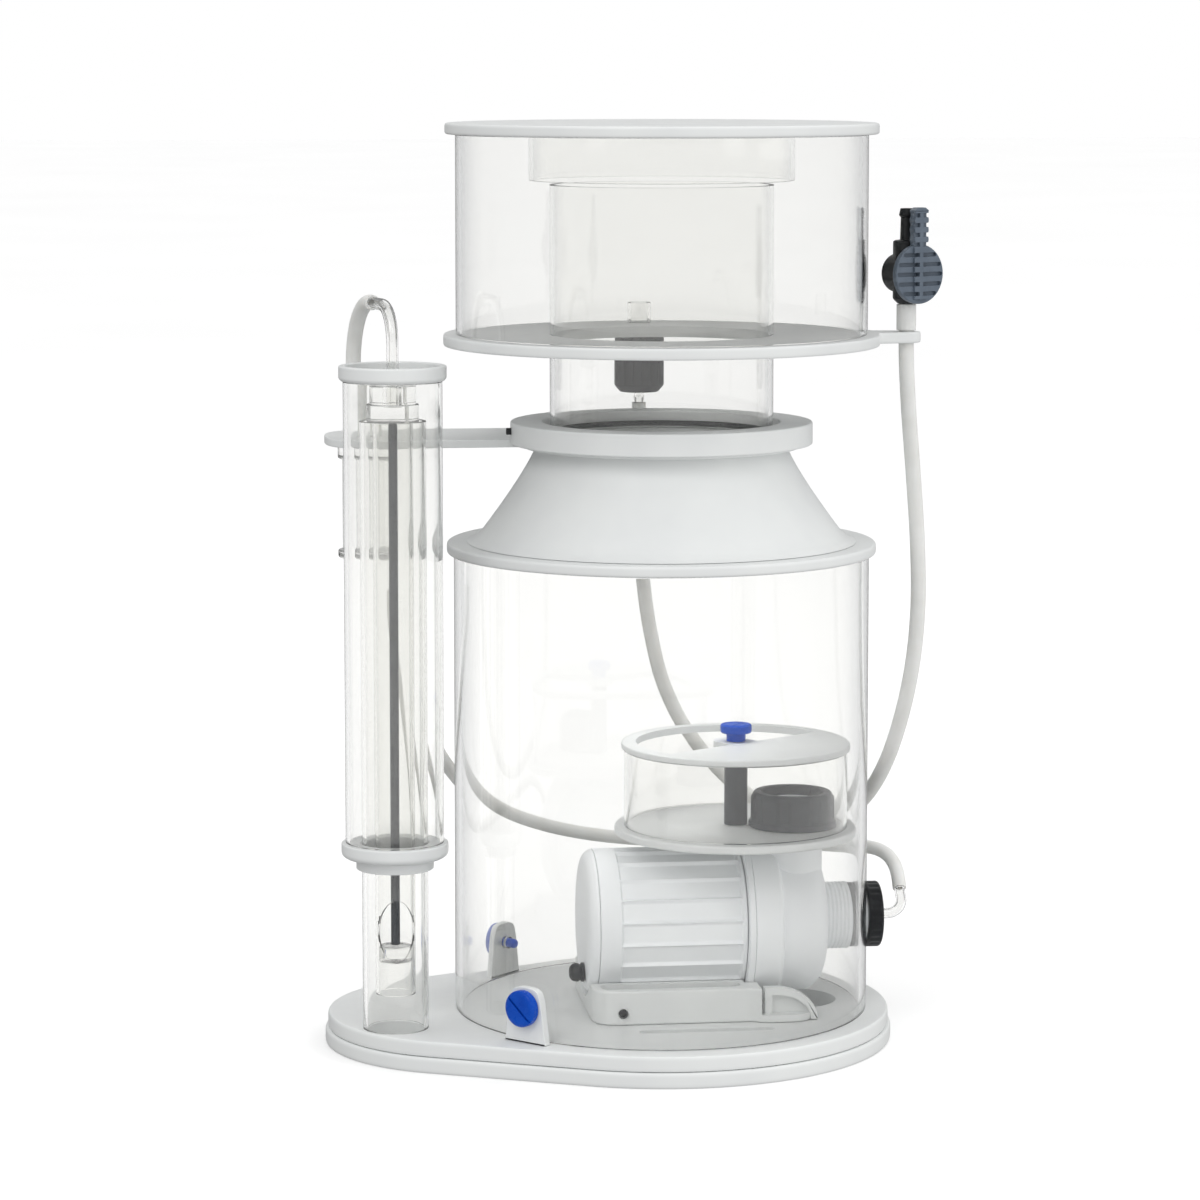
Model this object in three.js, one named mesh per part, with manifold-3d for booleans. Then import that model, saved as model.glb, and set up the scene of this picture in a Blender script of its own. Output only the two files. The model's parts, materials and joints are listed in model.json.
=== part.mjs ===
// An in-sump protein skimmer: a clear reaction tube on an oval base, a cone and a collector cup above it,
// a needle-wheel pump with a bubble-plate chamber inside it, and a level-setting outlet tower beside it.
// Millimetres. The origin is on the floor under the reaction tube's axis; +X points to the pump inlet,
// -X to the outlet tower, +Y to the rear and +Z up.
import * as THREE from "three";
import { mergeVertices } from "three/addons/utils/BufferGeometryUtils.js";
import Module from "manifold-3d";

const wasm = await Module();
wasm.setup();

// ---- driving dimensions ----

const GAP = 0.3; // kept between pieces that touch
const ROUND = 32; // facets round the large tubes
const MIDDLE = 20; // facets round the middle-sized pieces
const SMALL = 12; // facets round screws and spigots

const BASE = { nose: 168, tail: 112, tailX: -133, joint: 11, top: 22.4, inset: 2 };
const BODY = { outer: 150, wall: 5, top: 354.7 };
const FLANGE = { outer: 155, inner: 131, low: 355, high: 363 };
const CONE = { foot: 141, shoulder: 134, throat: 91, wall: 4, high: 431.2 };
const COLLAR = { outer: 109, bore: 85.5, low: 434, high: 450 };
const ARM = { ring: 100, front: 4, rear: 96, tip: -240, low: 431.5, high: 437.2 };
const SILENCER = { x: -208, y: 45, tube: 19.5, wall: 2, cap: 22.7, low: 349, high: 431.2 };
const SILENCER_INLET = { x: -11, radius: 5, high: 437.2 };
const SILENCER_OUTLET = { x: 10, radius: 3, low: 325 };
const TOWER = { x: -198, y: -54 };
const PIPE = { outer: 23.5, wall: 3, top: 457 };
const INNER = { outer: 14.3, wall: 2, low: 48, high: 455.7 };
const SLEEVE = { outer: 35, wall: 2.8, low: 157.3, high: 484.7, ring: 38 };
const ROD = { radius: 3.2, low: 83, high: 455 };
const BRIDGE = { radius: 4.3, start: 467.5, apex: 537, bend: 25, hose: 5.5, joint: 50, legX: -219 };
const PUMP = { z: 84.5, motor: 50, rib: 3, flange: 60.5, drum: 54, rear: -50, front: 56 };
const OUTLET = { x: 94.5, y: -16, outer: 21.5, bore: 18, high: 174 };
const CHAMBER = { x: 54.5, y: -5, floor: 88.5, wall: 81.5, top: 83.5, low: 149, deck: 155, high: 216 };
const CUP = { floor: 157, wall: 148, thick: 4, low: 505, deck: 513, high: 655.7 };
const NECK = { outer: 80.5, wall: 3, low: 425, high: 620 };
const DRAIN = { y: 127, stub: 9.2, bore: 6.7, high: 528, nut: 19.4, nutLow: 461, end: 453 };
const VALVE = { x: 179, z: 555, body: 10, turn: -63.2 };
const LID = { outer: 155.5, low: 656, high: 664, skirt: 95.5, skirtLow: 623 };
const SCREW_STATIONS = [
  ["front", 225],
  ["rear", 135],
];
const SCREW = { z: 47.7, head: 13, shank: 3.5 };

// The routes of the two long hoses, chosen to hang and lie as soft silicone hose does.
const AIR_ROUTE = [
  [-198, 45, 324.7],
  [-198, 45, 312],
  [-195, 46.5, 296],
  [-187, 50, 276],
  [-178, 55.5, 250],
  [-168, 62, 223],
  [-156, 71, 199],
  [-143.5, 82, 180],
  [-126, 102, 160],
  [-106, 123.5, 144.8],
  [-82, 141, 133],
  [-57, 152.7, 124.3],
  [-25, 161, 117],
  [6, 162.9, 113.2],
  [40, 158, 112],
  [72, 146.5, 112.5],
  [101, 131, 114.5],
  [128, 110, 117],
  [150, 86, 119.5],
  [163.5, 67, 121.5],
  [172, 53, 121.5],
  [177, 41, 119],
  [179.5, 30, 114.3],
  [180, 20.2, 108.5],
  [180, 13.06, 100.17],
];
const DRAIN_ROUTE = [
  [0, 127, 452.7],
  [0, 127.3, 443],
  [0, 129.5, 428],
  [0, 136, 410],
  [1, 147, 391],
  [3, 157.5, 374],
  [5, 163.5, 356],
  [7, 165, 335],
  [9, 165, 312],
  [15, 165, 272],
  [25, 163, 233],
  [45, 158.7, 194],
  [69, 150, 166],
  [93, 136.5, 148],
  [115.5, 118, 139],
  [134, 97, 137.5],
  [149, 71, 146],
  [160, 42, 165],
  [170, 18, 194],
  [179.5, 6, 232],
  [186.5, 2, 272],
  [189.5, 0.6, 312],
  [188.5, 0, 360],
  [185, 0, 410],
  [181, 0, 460],
  [179.2, 0, 495],
  [179, 0, 515],
  [179, 0, 533],
];
const AIR_HOSE_RADIUS = 5;
const DRAIN_HOSE_RADIUS = 5.5;

// ---- materials ----

function finish(color, roughness, opacity = 1, metalness = 0) {
  return new THREE.MeshStandardMaterial({
    color,
    roughness,
    metalness,
    opacity,
    transparent: opacity < 1,
  });
}

const WHITE = finish(0xf1f2f2, 0.4);
const CLEAR = finish(0xf4f8fa, 0.05, 0.25);
const PUMP_GREY = finish(0xdfe2e4, 0.45);
const DARK_GREY = finish(0x4b4f55, 0.45);
const BLACK = finish(0x1f2123, 0.45);
const HANDLE_BLUE = finish(0x66717e, 0.4);
const BLUE = finish(0x1f4fc0, 0.35);
const SILICONE = finish(0xdedfdc, 0.5, 0.8);
const SEAL = finish(0x2a2b2c, 0.8);
const STEEL = finish(0xb9bcc0, 0.3, 1, 1);
const CERAMIC = finish(0xe9e6df, 0.3);
const MAGNET = finish(0x3a3c40, 0.5, 1, 0.4);
const COPPER_POTTING = finish(0x26282b, 0.6);

// ---- geometry helpers ----

const degrees = THREE.MathUtils.degToRad;

// A closed geometry as a solid whose faces point out.
function solid(geometry) {
  const bare = new THREE.BufferGeometry();
  const loose = geometry.index ? geometry.toNonIndexed() : geometry;
  bare.setAttribute("position", loose.getAttribute("position"));
  const merged = mergeVertices(bare, 1e-3);
  const vertProperties = merged.attributes.position.array;
  const triVerts = new Uint32Array(merged.index.array);
  const made = new wasm.Manifold(new wasm.Mesh({ numProp: 3, vertProperties, triVerts }));
  if (made.volume() >= 0) return made;
  for (let i = 0; i < triVerts.length; i += 3) {
    [triVerts[i + 1], triVerts[i + 2]] = [triVerts[i + 2], triVerts[i + 1]];
  }
  return new wasm.Manifold(new wasm.Mesh({ numProp: 3, vertProperties, triVerts }));
}

function geometryOf(body) {
  const { vertProperties, triVerts } = body.getMesh();
  return new THREE.BufferGeometry()
    .setAttribute("position", new THREE.BufferAttribute(vertProperties, 3))
    .setIndex(new THREE.BufferAttribute(triVerts, 1));
}

function joined(first, ...others) {
  return geometryOf(others.reduce((all, next) => all.add(solid(next)), solid(first)));
}

function cut(first, ...tools) {
  return geometryOf(tools.reduce((rest, tool) => rest.subtract(solid(tool)), solid(first)));
}

// A profile of [radius, height] points turned about Z.
function turned(profile, facets) {
  const points = profile.map(([radius, height]) => new THREE.Vector2(radius, height));
  return new THREE.LatheGeometry(points, facets).rotateX(Math.PI / 2);
}

// A disc from height low to height high, with its outer edges broken by the amount edge.
function disc(radius, low, high, facets, edge = 0) {
  const rim = edge
    ? [[radius - edge, low], [radius, low + edge], [radius, high - edge], [radius - edge, high]]
    : [[radius, low], [radius, high]];
  return turned([[0, low], ...rim, [0, high]], facets);
}

// A ring or tube, with its outer edges broken by the amount edge.
function ring(outer, inner, low, high, facets, edge = 0) {
  const rim = edge
    ? [[outer - edge, low], [outer, low + edge], [outer, high - edge], [outer - edge, high]]
    : [[outer, low], [outer, high]];
  return turned([[inner, low], ...rim, [inner, high], [inner, low]], facets);
}

function alongX(geometry) {
  return geometry.rotateY(Math.PI / 2);
}

function alongY(geometry) {
  return geometry.rotateX(-Math.PI / 2);
}

function extruded(shape, low, high, curveSegments, edge = 0) {
  return new THREE.ExtrudeGeometry(shape, {
    depth: high - low - 2 * edge,
    curveSegments,
    bevelEnabled: edge > 0,
    bevelThickness: edge,
    bevelSize: edge,
    bevelOffset: -edge,
    bevelSegments: 1,
  }).translate(0, 0, low + edge);
}

function box(lowX, highX, lowY, highY, lowZ, highZ) {
  return new THREE.BoxGeometry(highX - lowX, highY - lowY, highZ - lowZ).translate(
    (lowX + highX) / 2,
    (lowY + highY) / 2,
    (lowZ + highZ) / 2,
  );
}

// A plain round cord along a smooth curve through the points.
function cord(points, radius, sides, steps) {
  const path = new THREE.CatmullRomCurve3(
    points.map((point) => new THREE.Vector3(...point)),
    false,
    "centripetal",
  );
  const section = new THREE.Shape();
  section.absarc(0, 0, radius, 0, 2 * Math.PI, false);
  return new THREE.ExtrudeGeometry(section, {
    steps,
    extrudePath: path,
    curveSegments: sides / 2,
    bevelEnabled: false,
  });
}

// The points of a quarter bend of the given radius that leaves corner - radius * inward and ends at
// corner + radius * outward.
function quarterBend(corner, inward, outward, radius, count) {
  const centre = corner.clone().addScaledVector(inward, -radius).addScaledVector(outward, radius);
  return Array.from({ length: count + 1 }, (_, i) => {
    const turn = (i / count) * (Math.PI / 2);
    return centre
      .clone()
      .addScaledVector(outward, -radius * Math.cos(turn))
      .addScaledVector(inward, radius * Math.sin(turn))
      .toArray();
  });
}

const skimmer = new THREE.Group();

function add(parent, name, geometry, material) {
  const mesh = new THREE.Mesh(geometry, material);
  mesh.name = name;
  parent.add(mesh);
  return mesh;
}

function groupAt(x, y, z) {
  const group = new THREE.Group();
  group.position.set(x, y, z);
  skimmer.add(group);
  return group;
}

// ---- base ----

// The oval: a large arc about the body's axis and a small arc at the tower end, joined by their tangents.
function baseOutline(inset) {
  const shape = new THREE.Shape();
  const lean = Math.acos((BASE.nose - BASE.tail) / BASE.tailX);
  shape.absarc(0, 0, BASE.nose - inset, -lean, lean, false);
  shape.absarc(BASE.tailX, 0, BASE.tail - inset, lean, 2 * Math.PI - lean, false);
  shape.closePath();
  return shape;
}

const BASE_OUTLET = { x: 100, y: 3, radius: 31 };

// The duct in the lower plate that leads the cleaned water from the body to the outlet tower.
function duct() {
  const half = 20;
  const run = new THREE.Vector2(TOWER.x - BASE_OUTLET.x, TOWER.y - BASE_OUTLET.y);
  const shape = new THREE.Shape();
  shape.absarc(0, 0, half, -Math.PI / 2, Math.PI / 2, false);
  shape.absarc(-run.length(), 0, half, Math.PI / 2, (3 * Math.PI) / 2, false);
  shape.closePath();
  return extruded(shape, 5, BASE.joint + 1, 8)
    .rotateZ(run.angle() - Math.PI)
    .translate(BASE_OUTLET.x, BASE_OUTLET.y, 0);
}

// The shallow slot in the upper plate's top, in front of the pump's cradle.
function baseSlot() {
  const shape = new THREE.Shape();
  shape.absarc(65, -88, 4.5, -Math.PI / 2, Math.PI / 2, false);
  shape.absarc(-22.5, -88, 4.5, Math.PI / 2, (3 * Math.PI) / 2, false);
  shape.closePath();
  return extruded(shape, BASE.top - 3, BASE.top + 1, 4);
}

function buildBase() {
  const lower = extruded(baseOutline(0), 0, BASE.joint, 11, 2);
  add(skimmer, "base_plate_lower", cut(lower, duct()), WHITE);
  const outline = baseOutline(BASE.inset);
  const upper = extruded(outline, BASE.joint + GAP, BASE.top, 11, 2);
  const outlet = disc(BASE_OUTLET.radius, 0, BASE.top + 5, MIDDLE).translate(BASE_OUTLET.x, BASE_OUTLET.y, 0);
  const riser = disc(PIPE.outer - PIPE.wall, 0, BASE.top + 5, MIDDLE).translate(TOWER.x, TOWER.y, 0);
  add(skimmer, "base_plate_upper", cut(upper, outlet, riser, baseSlot()), WHITE);
}

// ---- reaction tube, flange, cone and collar ----

function radialHole(radius, angle, z) {
  return alongX(disc(radius, BODY.outer - 20, BODY.outer + 20, SMALL))
    .translate(0, 0, z)
    .rotateZ(degrees(angle));
}

function buildBody() {
  const low = BASE.top + GAP;
  const tube = ring(BODY.outer, BODY.outer - BODY.wall, low, BODY.top, ROUND);
  const holes = SCREW_STATIONS.map(([, angle]) => radialHole(SCREW.shank + 1, angle, SCREW.z));
  add(skimmer, "body_tube", cut(tube, radialHole(20, 0, PUMP.z), ...holes), CLEAR);
  add(skimmer, "body_flange", ring(FLANGE.outer, FLANGE.inner, FLANGE.low, FLANGE.high, ROUND), WHITE);
}

// The cone's flare: its radius grows with the depth below the throat to the power 1.18.
function buildCone() {
  const low = FLANGE.high + GAP;
  const rows = 3;
  const outer = [];
  const inner = [];
  for (let i = 0; i <= rows; i++) {
    const depth = i / rows;
    const radius = CONE.throat + (CONE.shoulder - CONE.throat) * depth ** 1.18;
    const height = CONE.high - (CONE.high - low - 2) * depth;
    outer.push([radius, height]);
    inner.push([radius - CONE.wall - 1, height - (i === rows ? 2 : 0)]);
  }
  const profile = [...inner, [CONE.foot, low], ...outer.reverse(), inner[0]];
  add(skimmer, "cone", turned(profile, ROUND), WHITE);
}

function armShape(grow) {
  const shape = new THREE.Shape();
  const shoulder = ARM.tip + 22;
  const middle = (ARM.front + ARM.rear) / 2;
  shape.moveTo(-20, ARM.front - grow);
  shape.lineTo(-20, ARM.rear + grow);
  shape.lineTo(shoulder, ARM.rear + grow);
  shape.quadraticCurveTo(ARM.tip - grow, ARM.rear - 4, ARM.tip - grow, middle);
  shape.quadraticCurveTo(ARM.tip - grow, ARM.front + 4, shoulder, ARM.front - grow);
  shape.closePath();
  return shape;
}

function arm(grow) {
  const strip = extruded(armShape(grow), ARM.low - grow, ARM.high + grow, 6);
  const eye = disc(ARM.ring + grow, ARM.low - grow, ARM.high + grow, ROUND);
  return joined(strip, eye);
}

function buildCollar() {
  const throat = disc(COLLAR.bore, 0, COLLAR.high + 1, ROUND);
  const nippleHole = disc(SILENCER_INLET.radius + 0.5, 0, COLLAR.high, SMALL).translate(
    SILENCER.x + SILENCER_INLET.x,
    SILENCER.y,
    0,
  );
  add(skimmer, "bracket_arm", cut(arm(0), throat, nippleHole), WHITE);

  const screwHeight = 443.5;
  const screwHole = alongX(disc(3, -115, -103, SMALL)).translate(0, 0, screwHeight);
  const collar = ring(COLLAR.outer, COLLAR.bore, COLLAR.low, COLLAR.high, ROUND);
  add(skimmer, "neck_collar", cut(collar, arm(GAP), screwHole), WHITE);
  const screw = alongX(disc(2.5, -112.5, -103.5, SMALL)).translate(0, 0, screwHeight);
  add(skimmer, "collar_screw", screw, BLACK);

  add(skimmer, "neck_seal", ring(COLLAR.bore - GAP, NECK.outer + 0.5, 439, 443, ROUND), SEAL);
}

// ---- air silencer ----

function buildSilencer() {
  const group = groupAt(SILENCER.x, SILENCER.y, 0);
  const capTop = disc(SILENCER.cap, SILENCER.high - 10, SILENCER.high, MIDDLE);
  const nipple = disc(SILENCER_INLET.radius, SILENCER.high - 5, SILENCER_INLET.high, SMALL);
  add(group, "silencer_top_cap", joined(capTop, nipple.translate(SILENCER_INLET.x, 0, 0)), CLEAR);
  const tubeLow = SILENCER.low + 5.8;
  const tubeHigh = SILENCER.high - 10 - GAP;
  const bore = SILENCER.tube - SILENCER.wall;
  add(group, "silencer_tube", ring(SILENCER.tube, bore, tubeLow, tubeHigh, MIDDLE), CLEAR);
  const capLow = disc(SILENCER.cap, SILENCER.low, tubeLow - GAP, MIDDLE);
  const spout = disc(SILENCER_OUTLET.radius, SILENCER_OUTLET.low, SILENCER.low + 3, SMALL);
  add(group, "silencer_bottom_cap", joined(capLow, spout.translate(SILENCER_OUTLET.x, 0, 0)), CLEAR);
}

// ---- outlet tower ----

function buildTower() {
  const group = groupAt(TOWER.x, TOWER.y, 0);
  const pipeLow = BASE.top + GAP;
  add(group, "outlet_pipe", ring(PIPE.outer, PIPE.outer - PIPE.wall, pipeLow, PIPE.top, MIDDLE), CLEAR);

  const bore = INNER.outer - INNER.wall;
  const port = alongY(disc(11.5, -20, 0, MIDDLE)).scale(1, 1, 2).translate(0, 0, 94.5);
  add(group, "inner_tube", cut(ring(INNER.outer, bore, INNER.low, INNER.high, MIDDLE), port), CLEAR);
  const capLow = INNER.high + GAP;
  const step = capLow + 13;
  const cap = turned(
    [[0, capLow], [18.5, capLow], [18.5, step], [16.5, step], [16.5, step + 13], [0, step + 13]],
    MIDDLE,
  );
  add(group, "inner_tube_cap", cut(cap, disc(BRIDGE.radius + 0.5, BRIDGE.start - 0.5, 500, SMALL)), CLEAR);

  add(group, "valve_rod", disc(ROD.radius, ROD.low, ROD.high, SMALL), DARK_GREY);
  add(group, "valve_rod_ring", disc(bore - 0.6, ROD.low - 12, ROD.low - GAP, MIDDLE), CLEAR);

  const sleeveBore = SLEEVE.outer - SLEEVE.wall;
  add(group, "level_sleeve", ring(SLEEVE.outer, sleeveBore, SLEEVE.low, SLEEVE.high, MIDDLE), CLEAR);
  const topLow = SLEEVE.high + GAP;
  add(group, "sleeve_top_ring", ring(SLEEVE.ring, 33, topLow, topLow + 11, MIDDLE), WHITE);
  const seat = SLEEVE.low - GAP;
  const slip = PIPE.outer + 0.7;
  const lowRing = turned(
    [
      [slip, seat - 19],
      [27.5, seat - 19],
      [27.5, seat - 11],
      [SLEEVE.ring, seat - 11],
      [SLEEVE.ring, seat],
      [slip, seat],
      [slip, seat - 19],
    ],
    MIDDLE,
  );
  add(group, "sleeve_bottom_ring", lowRing, WHITE);
}

// ---- bridge from the tower's top to the silencer ----

function buildBridge() {
  const up = new THREE.Vector3(0, 0, 1);
  const start = new THREE.Vector3(TOWER.x, TOWER.y, BRIDGE.start);
  const end = new THREE.Vector3(BRIDGE.legX, SILENCER.y, BRIDGE.start);
  const across = end.clone().sub(start);
  const span = across.length();
  across.normalize();
  const firstCorner = new THREE.Vector3(TOWER.x, TOWER.y, BRIDGE.apex);
  const joint = firstCorner.clone().addScaledVector(across, BRIDGE.joint - GAP);
  const rigid = [
    start.toArray(),
    [TOWER.x, TOWER.y, 490],
    ...quarterBend(firstCorner, up, across, BRIDGE.bend, 6),
    joint.toArray(),
  ];
  add(skimmer, "bridge_tube", cord(rigid, BRIDGE.radius, 8, 18), CLEAR);

  const secondCorner = firstCorner.clone().addScaledVector(across, span);
  const down = up.clone().negate();
  const soft = [
    firstCorner.clone().addScaledVector(across, BRIDGE.joint).toArray(),
    ...quarterBend(secondCorner, across, down, span - BRIDGE.joint - 4, 8),
    [BRIDGE.legX, SILENCER.y, 462],
    [BRIDGE.legX, SILENCER.y, SILENCER_INLET.high + GAP],
  ];
  add(skimmer, "bridge_hose", cord(soft, BRIDGE.hose, 8, 14), SILICONE);
}

// ---- screw brackets that hold the body ----

function buildScrewStation(name, angle) {
  const station = groupAt(0, 0, 0);
  station.rotation.z = degrees(angle);
  const face = new THREE.Shape();
  face.moveTo(-18, BASE.top + GAP);
  face.lineTo(18, BASE.top + GAP);
  face.lineTo(14.5, SCREW.z);
  face.absarc(0, SCREW.z, 14.5, 0, Math.PI, false);
  face.closePath();
  // The plate's width lies along Y, its height along Z and its thickness along the body's radius.
  const upright = new THREE.Matrix4().makeBasis(
    new THREE.Vector3(0, 1, 0),
    new THREE.Vector3(0, 0, 1),
    new THREE.Vector3(1, 0, 0),
  );
  const plate = extruded(face, 152, 158, 8).applyMatrix4(upright);
  const hole = alongX(disc(SCREW.shank + 1, 140, 170, SMALL)).translate(0, 0, SCREW.z);
  add(station, `screw_bracket_${name}`, cut(plate, hole), WHITE);

  const head = alongX(disc(SCREW.head, 158.3, 165.5, MIDDLE)).translate(0, 0, SCREW.z);
  const shank = alongX(disc(SCREW.shank, 138, 160, SMALL)).translate(0, 0, SCREW.z);
  const slot = box(163.5, 170, -20, 20, SCREW.z - 1, SCREW.z + 1);
  add(station, `thumb_screw_${name}`, cut(joined(head, shank), slot), BLUE);
}

// ---- pump ----

// The motor's section: a round shell with cooling ribs every 20 degrees.
function ribbedSection() {
  const shape = new THREE.Shape();
  const half = degrees(1.6);
  for (let i = 0; i < 18; i++) {
    const angle = degrees(3.6 + 20 * i);
    const corners = [
      [PUMP.motor, angle - half],
      [PUMP.motor + PUMP.rib, angle - half],
      [PUMP.motor + PUMP.rib, angle + half],
      [PUMP.motor, angle + half],
    ];
    corners.forEach(([radius, turn], corner) => {
      const point = [radius * Math.cos(turn), radius * Math.sin(turn)];
      if (i + corner) shape.lineTo(...point);
      else shape.moveTo(...point);
    });
  }
  shape.closePath();
  return shape;
}

function buildMotor(pump) {
  const bore = disc(46, PUMP.rear - 5, PUMP.front + 5, MIDDLE);
  const ribs = extruded(ribbedSection(), -34, 53, 4);
  const rearBand = disc(PUMP.motor + PUMP.rib, PUMP.rear, -33, MIDDLE);
  const frontBand = disc(PUMP.motor + 1, 52, PUMP.front, MIDDLE);
  add(pump, "motor_housing", alongX(cut(joined(ribs, rearBand, frontBand), bore)), PUMP_GREY);

  const capFace = PUMP.rear - 8.5;
  const cap = turned(
    [[0, capFace], [44, capFace], [50, capFace + 2.5], [52.5, PUMP.rear - GAP], [0, PUMP.rear - GAP]],
    MIDDLE,
  );
  const pocket = disc(10.4, PUMP.rear - 6, PUMP.rear + 1, SMALL);
  add(pump, "motor_rear_cap", alongX(cut(cap, pocket)), PUMP_GREY);
  const gland = alongX(
    turned([[0, capFace - 11], [4, capFace - 11], [7, capFace - 8], [7, capFace - GAP], [0, capFace - GAP]], SMALL),
  );
  add(pump, "cable_gland", gland.translate(0, -20, -33), BLACK);

  add(pump, "stator", alongX(ring(45.6, 25, -40, 42, MIDDLE)), COPPER_POTTING);
  add(pump, "rear_bearing", alongX(ring(10, 4.3, PUMP.rear - 5.7, PUMP.rear + 2, SMALL)), CERAMIC);
  add(pump, "front_bearing", alongX(ring(10, 4.3, PUMP.front + 0.6, PUMP.front + 5, SMALL)), CERAMIC);
  const plate = ring(PUMP.flange, 10.4, PUMP.front + 0.6, PUMP.front + 5, MIDDLE);
  add(pump, "volute_back_plate", alongX(plate), PUMP_GREY);
}

function buildVolute(pump) {
  const rear = PUMP.front + 5 + GAP;
  const face = 117;
  const shell = alongX(
    turned(
      [
        [0, rear],
        [PUMP.flange - 1.5, rear],
        [PUMP.flange - 1.5, 82],
        [PUMP.drum, 83],
        [PUMP.drum, 109],
        [PUMP.drum - 8, face],
        [0, face],
      ],
      MIDDLE,
    ),
  );
  const cavity = alongX(disc(48, rear - 1, 110, MIDDLE));
  const eye = alongX(disc(17, 100, 125, MIDDLE));
  const spout = disc(OUTLET.outer, 10, OUTLET.high - PUMP.z, MIDDLE).translate(OUTLET.x, OUTLET.y, 0);
  const bore = disc(OUTLET.bore, 12, 100, MIDDLE).translate(OUTLET.x, OUTLET.y, 0);
  add(pump, "volute_housing", cut(joined(shell, spout), cavity, eye, bore), PUMP_GREY);

  // The nozzle's shoulder bears on the inside of the body wall and its thread passes through it.
  const nozzle = alongX(
    turned(
      [
        [16, face + GAP],
        [24.5, face + GAP],
        [24.5, 139],
        [18.5, 139],
        [18.5, 157],
        [16, 157],
        [16, face + GAP],
      ],
      MIDDLE,
    ),
  );
  add(pump, "inlet_nozzle", nozzle, PUMP_GREY);
  const wallInside = disc(BODY.outer - BODY.wall - 0.8, -60, 60, ROUND);
  const sealBlank = solid(alongX(ring(23.5, 19.2, 139 + GAP, 150, MIDDLE)));
  add(pump, "inlet_seal", geometryOf(sealBlank.intersect(solid(wallInside))), SEAL);

  const nutFace = BODY.outer + 0.6;
  const nut = turned(
    [
      [19.2, nutFace],
      [24, nutFace],
      [24, 160.5],
      [22.5, 162],
      [14.5, 162],
      [14.5, 159.7],
      [19.2, 159.7],
      [19.2, nutFace],
    ],
    MIDDLE,
  );
  add(pump, "inlet_nut", alongX(nut), BLACK);
}

// The elbow that brings the air into the pump's inlet, clamped by the nut.
function buildElbow(pump) {
  const along = new THREE.Vector3(1, 0, 0);
  const away = new THREE.Vector3(0, 0.64, 0.768);
  const corner = new THREE.Vector3(180, 0, 0);
  const end = corner.clone().addScaledVector(away, 20);
  const points = [[158.5, 0, 0], [163, 0, 0], ...quarterBend(corner, along, away, 12, 5), end.toArray()];
  // Water is drawn in through the windows of the disc that carries the elbow.
  const windows = [45, 135, 225, 315].map((angle) =>
    alongX(disc(5, 150, 165, SMALL))
      .translate(0, 10.8, 0)
      .rotateX(degrees(angle)),
  );
  const flange = cut(alongX(disc(17.5, 157.3, 159.4, MIDDLE)), ...windows);
  add(pump, "air_elbow", joined(cord(points, 3.8, 8, 12), flange), CLEAR);
}

function buildRotor(pump) {
  add(pump, "rotor_magnet", alongX(ring(22, 4.3, -36, 38, MIDDLE)), MAGNET);
  add(pump, "rotor_shaft", alongX(disc(4, PUMP.rear - 5, 88, SMALL)), CERAMIC);
  const plate = ring(40, 4.3, 70, 74, MIDDLE);
  const hub = ring(9, 4.3, 73, 86, SMALL);
  const needles = [];
  for (const [radius, count] of [
    [22, 6],
    [35, 10],
  ]) {
    for (let i = 0; i < count; i++) {
      const turn = (2 * Math.PI * i) / count;
      needles.push(disc(2, 73, 90, 4).translate(radius * Math.cos(turn), radius * Math.sin(turn), 0));
    }
  }
  add(pump, "impeller", alongX(joined(plate, hub, ...needles)), WHITE);
}

// The cradle: a tray with high sides under the motor and lower ones under the volute.
function buildFoot() {
  const low = BASE.top + GAP;
  const outline = new THREE.Shape();
  outline.moveTo(-57, -52);
  outline.quadraticCurveTo(-57, -68, -41, -68);
  outline.lineTo(72, -68);
  outline.quadraticCurveTo(104, -68, 104, -36);
  outline.lineTo(104, 36);
  outline.quadraticCurveTo(104, 68, 72, 68);
  outline.lineTo(-41, 68);
  outline.quadraticCurveTo(-57, 68, -57, 52);
  outline.closePath();
  const block = extruded(outline, low, 47, 6);
  const shape = cut(
    block,
    alongX(disc(PUMP.motor + PUMP.rib + 1, -65, 60, ROUND)).translate(0, 0, PUMP.z),
    alongX(disc(PUMP.flange + 0.8, 54, 110, ROUND)).translate(0, 0, PUMP.z),
    box(60, 110, -80, 80, 34, 60),
    box(55, 97, -46, 46, 0, 60),
    box(-50, 50, -60, -44, 30, 60),
    box(-50, 50, 44, 60, 30, 60),
    alongY(disc(3.6, -70, -55, SMALL)).translate(-36, 0, 31),
  );
  add(skimmer, "pump_foot", shape, WHITE);
  const screw = alongY(disc(3, -70.5, -61, SMALL)).translate(-36, 0, 31);
  add(skimmer, "foot_screw", screw, BLACK);
}

// ---- bubble-plate chamber over the pump outlet ----

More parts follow.
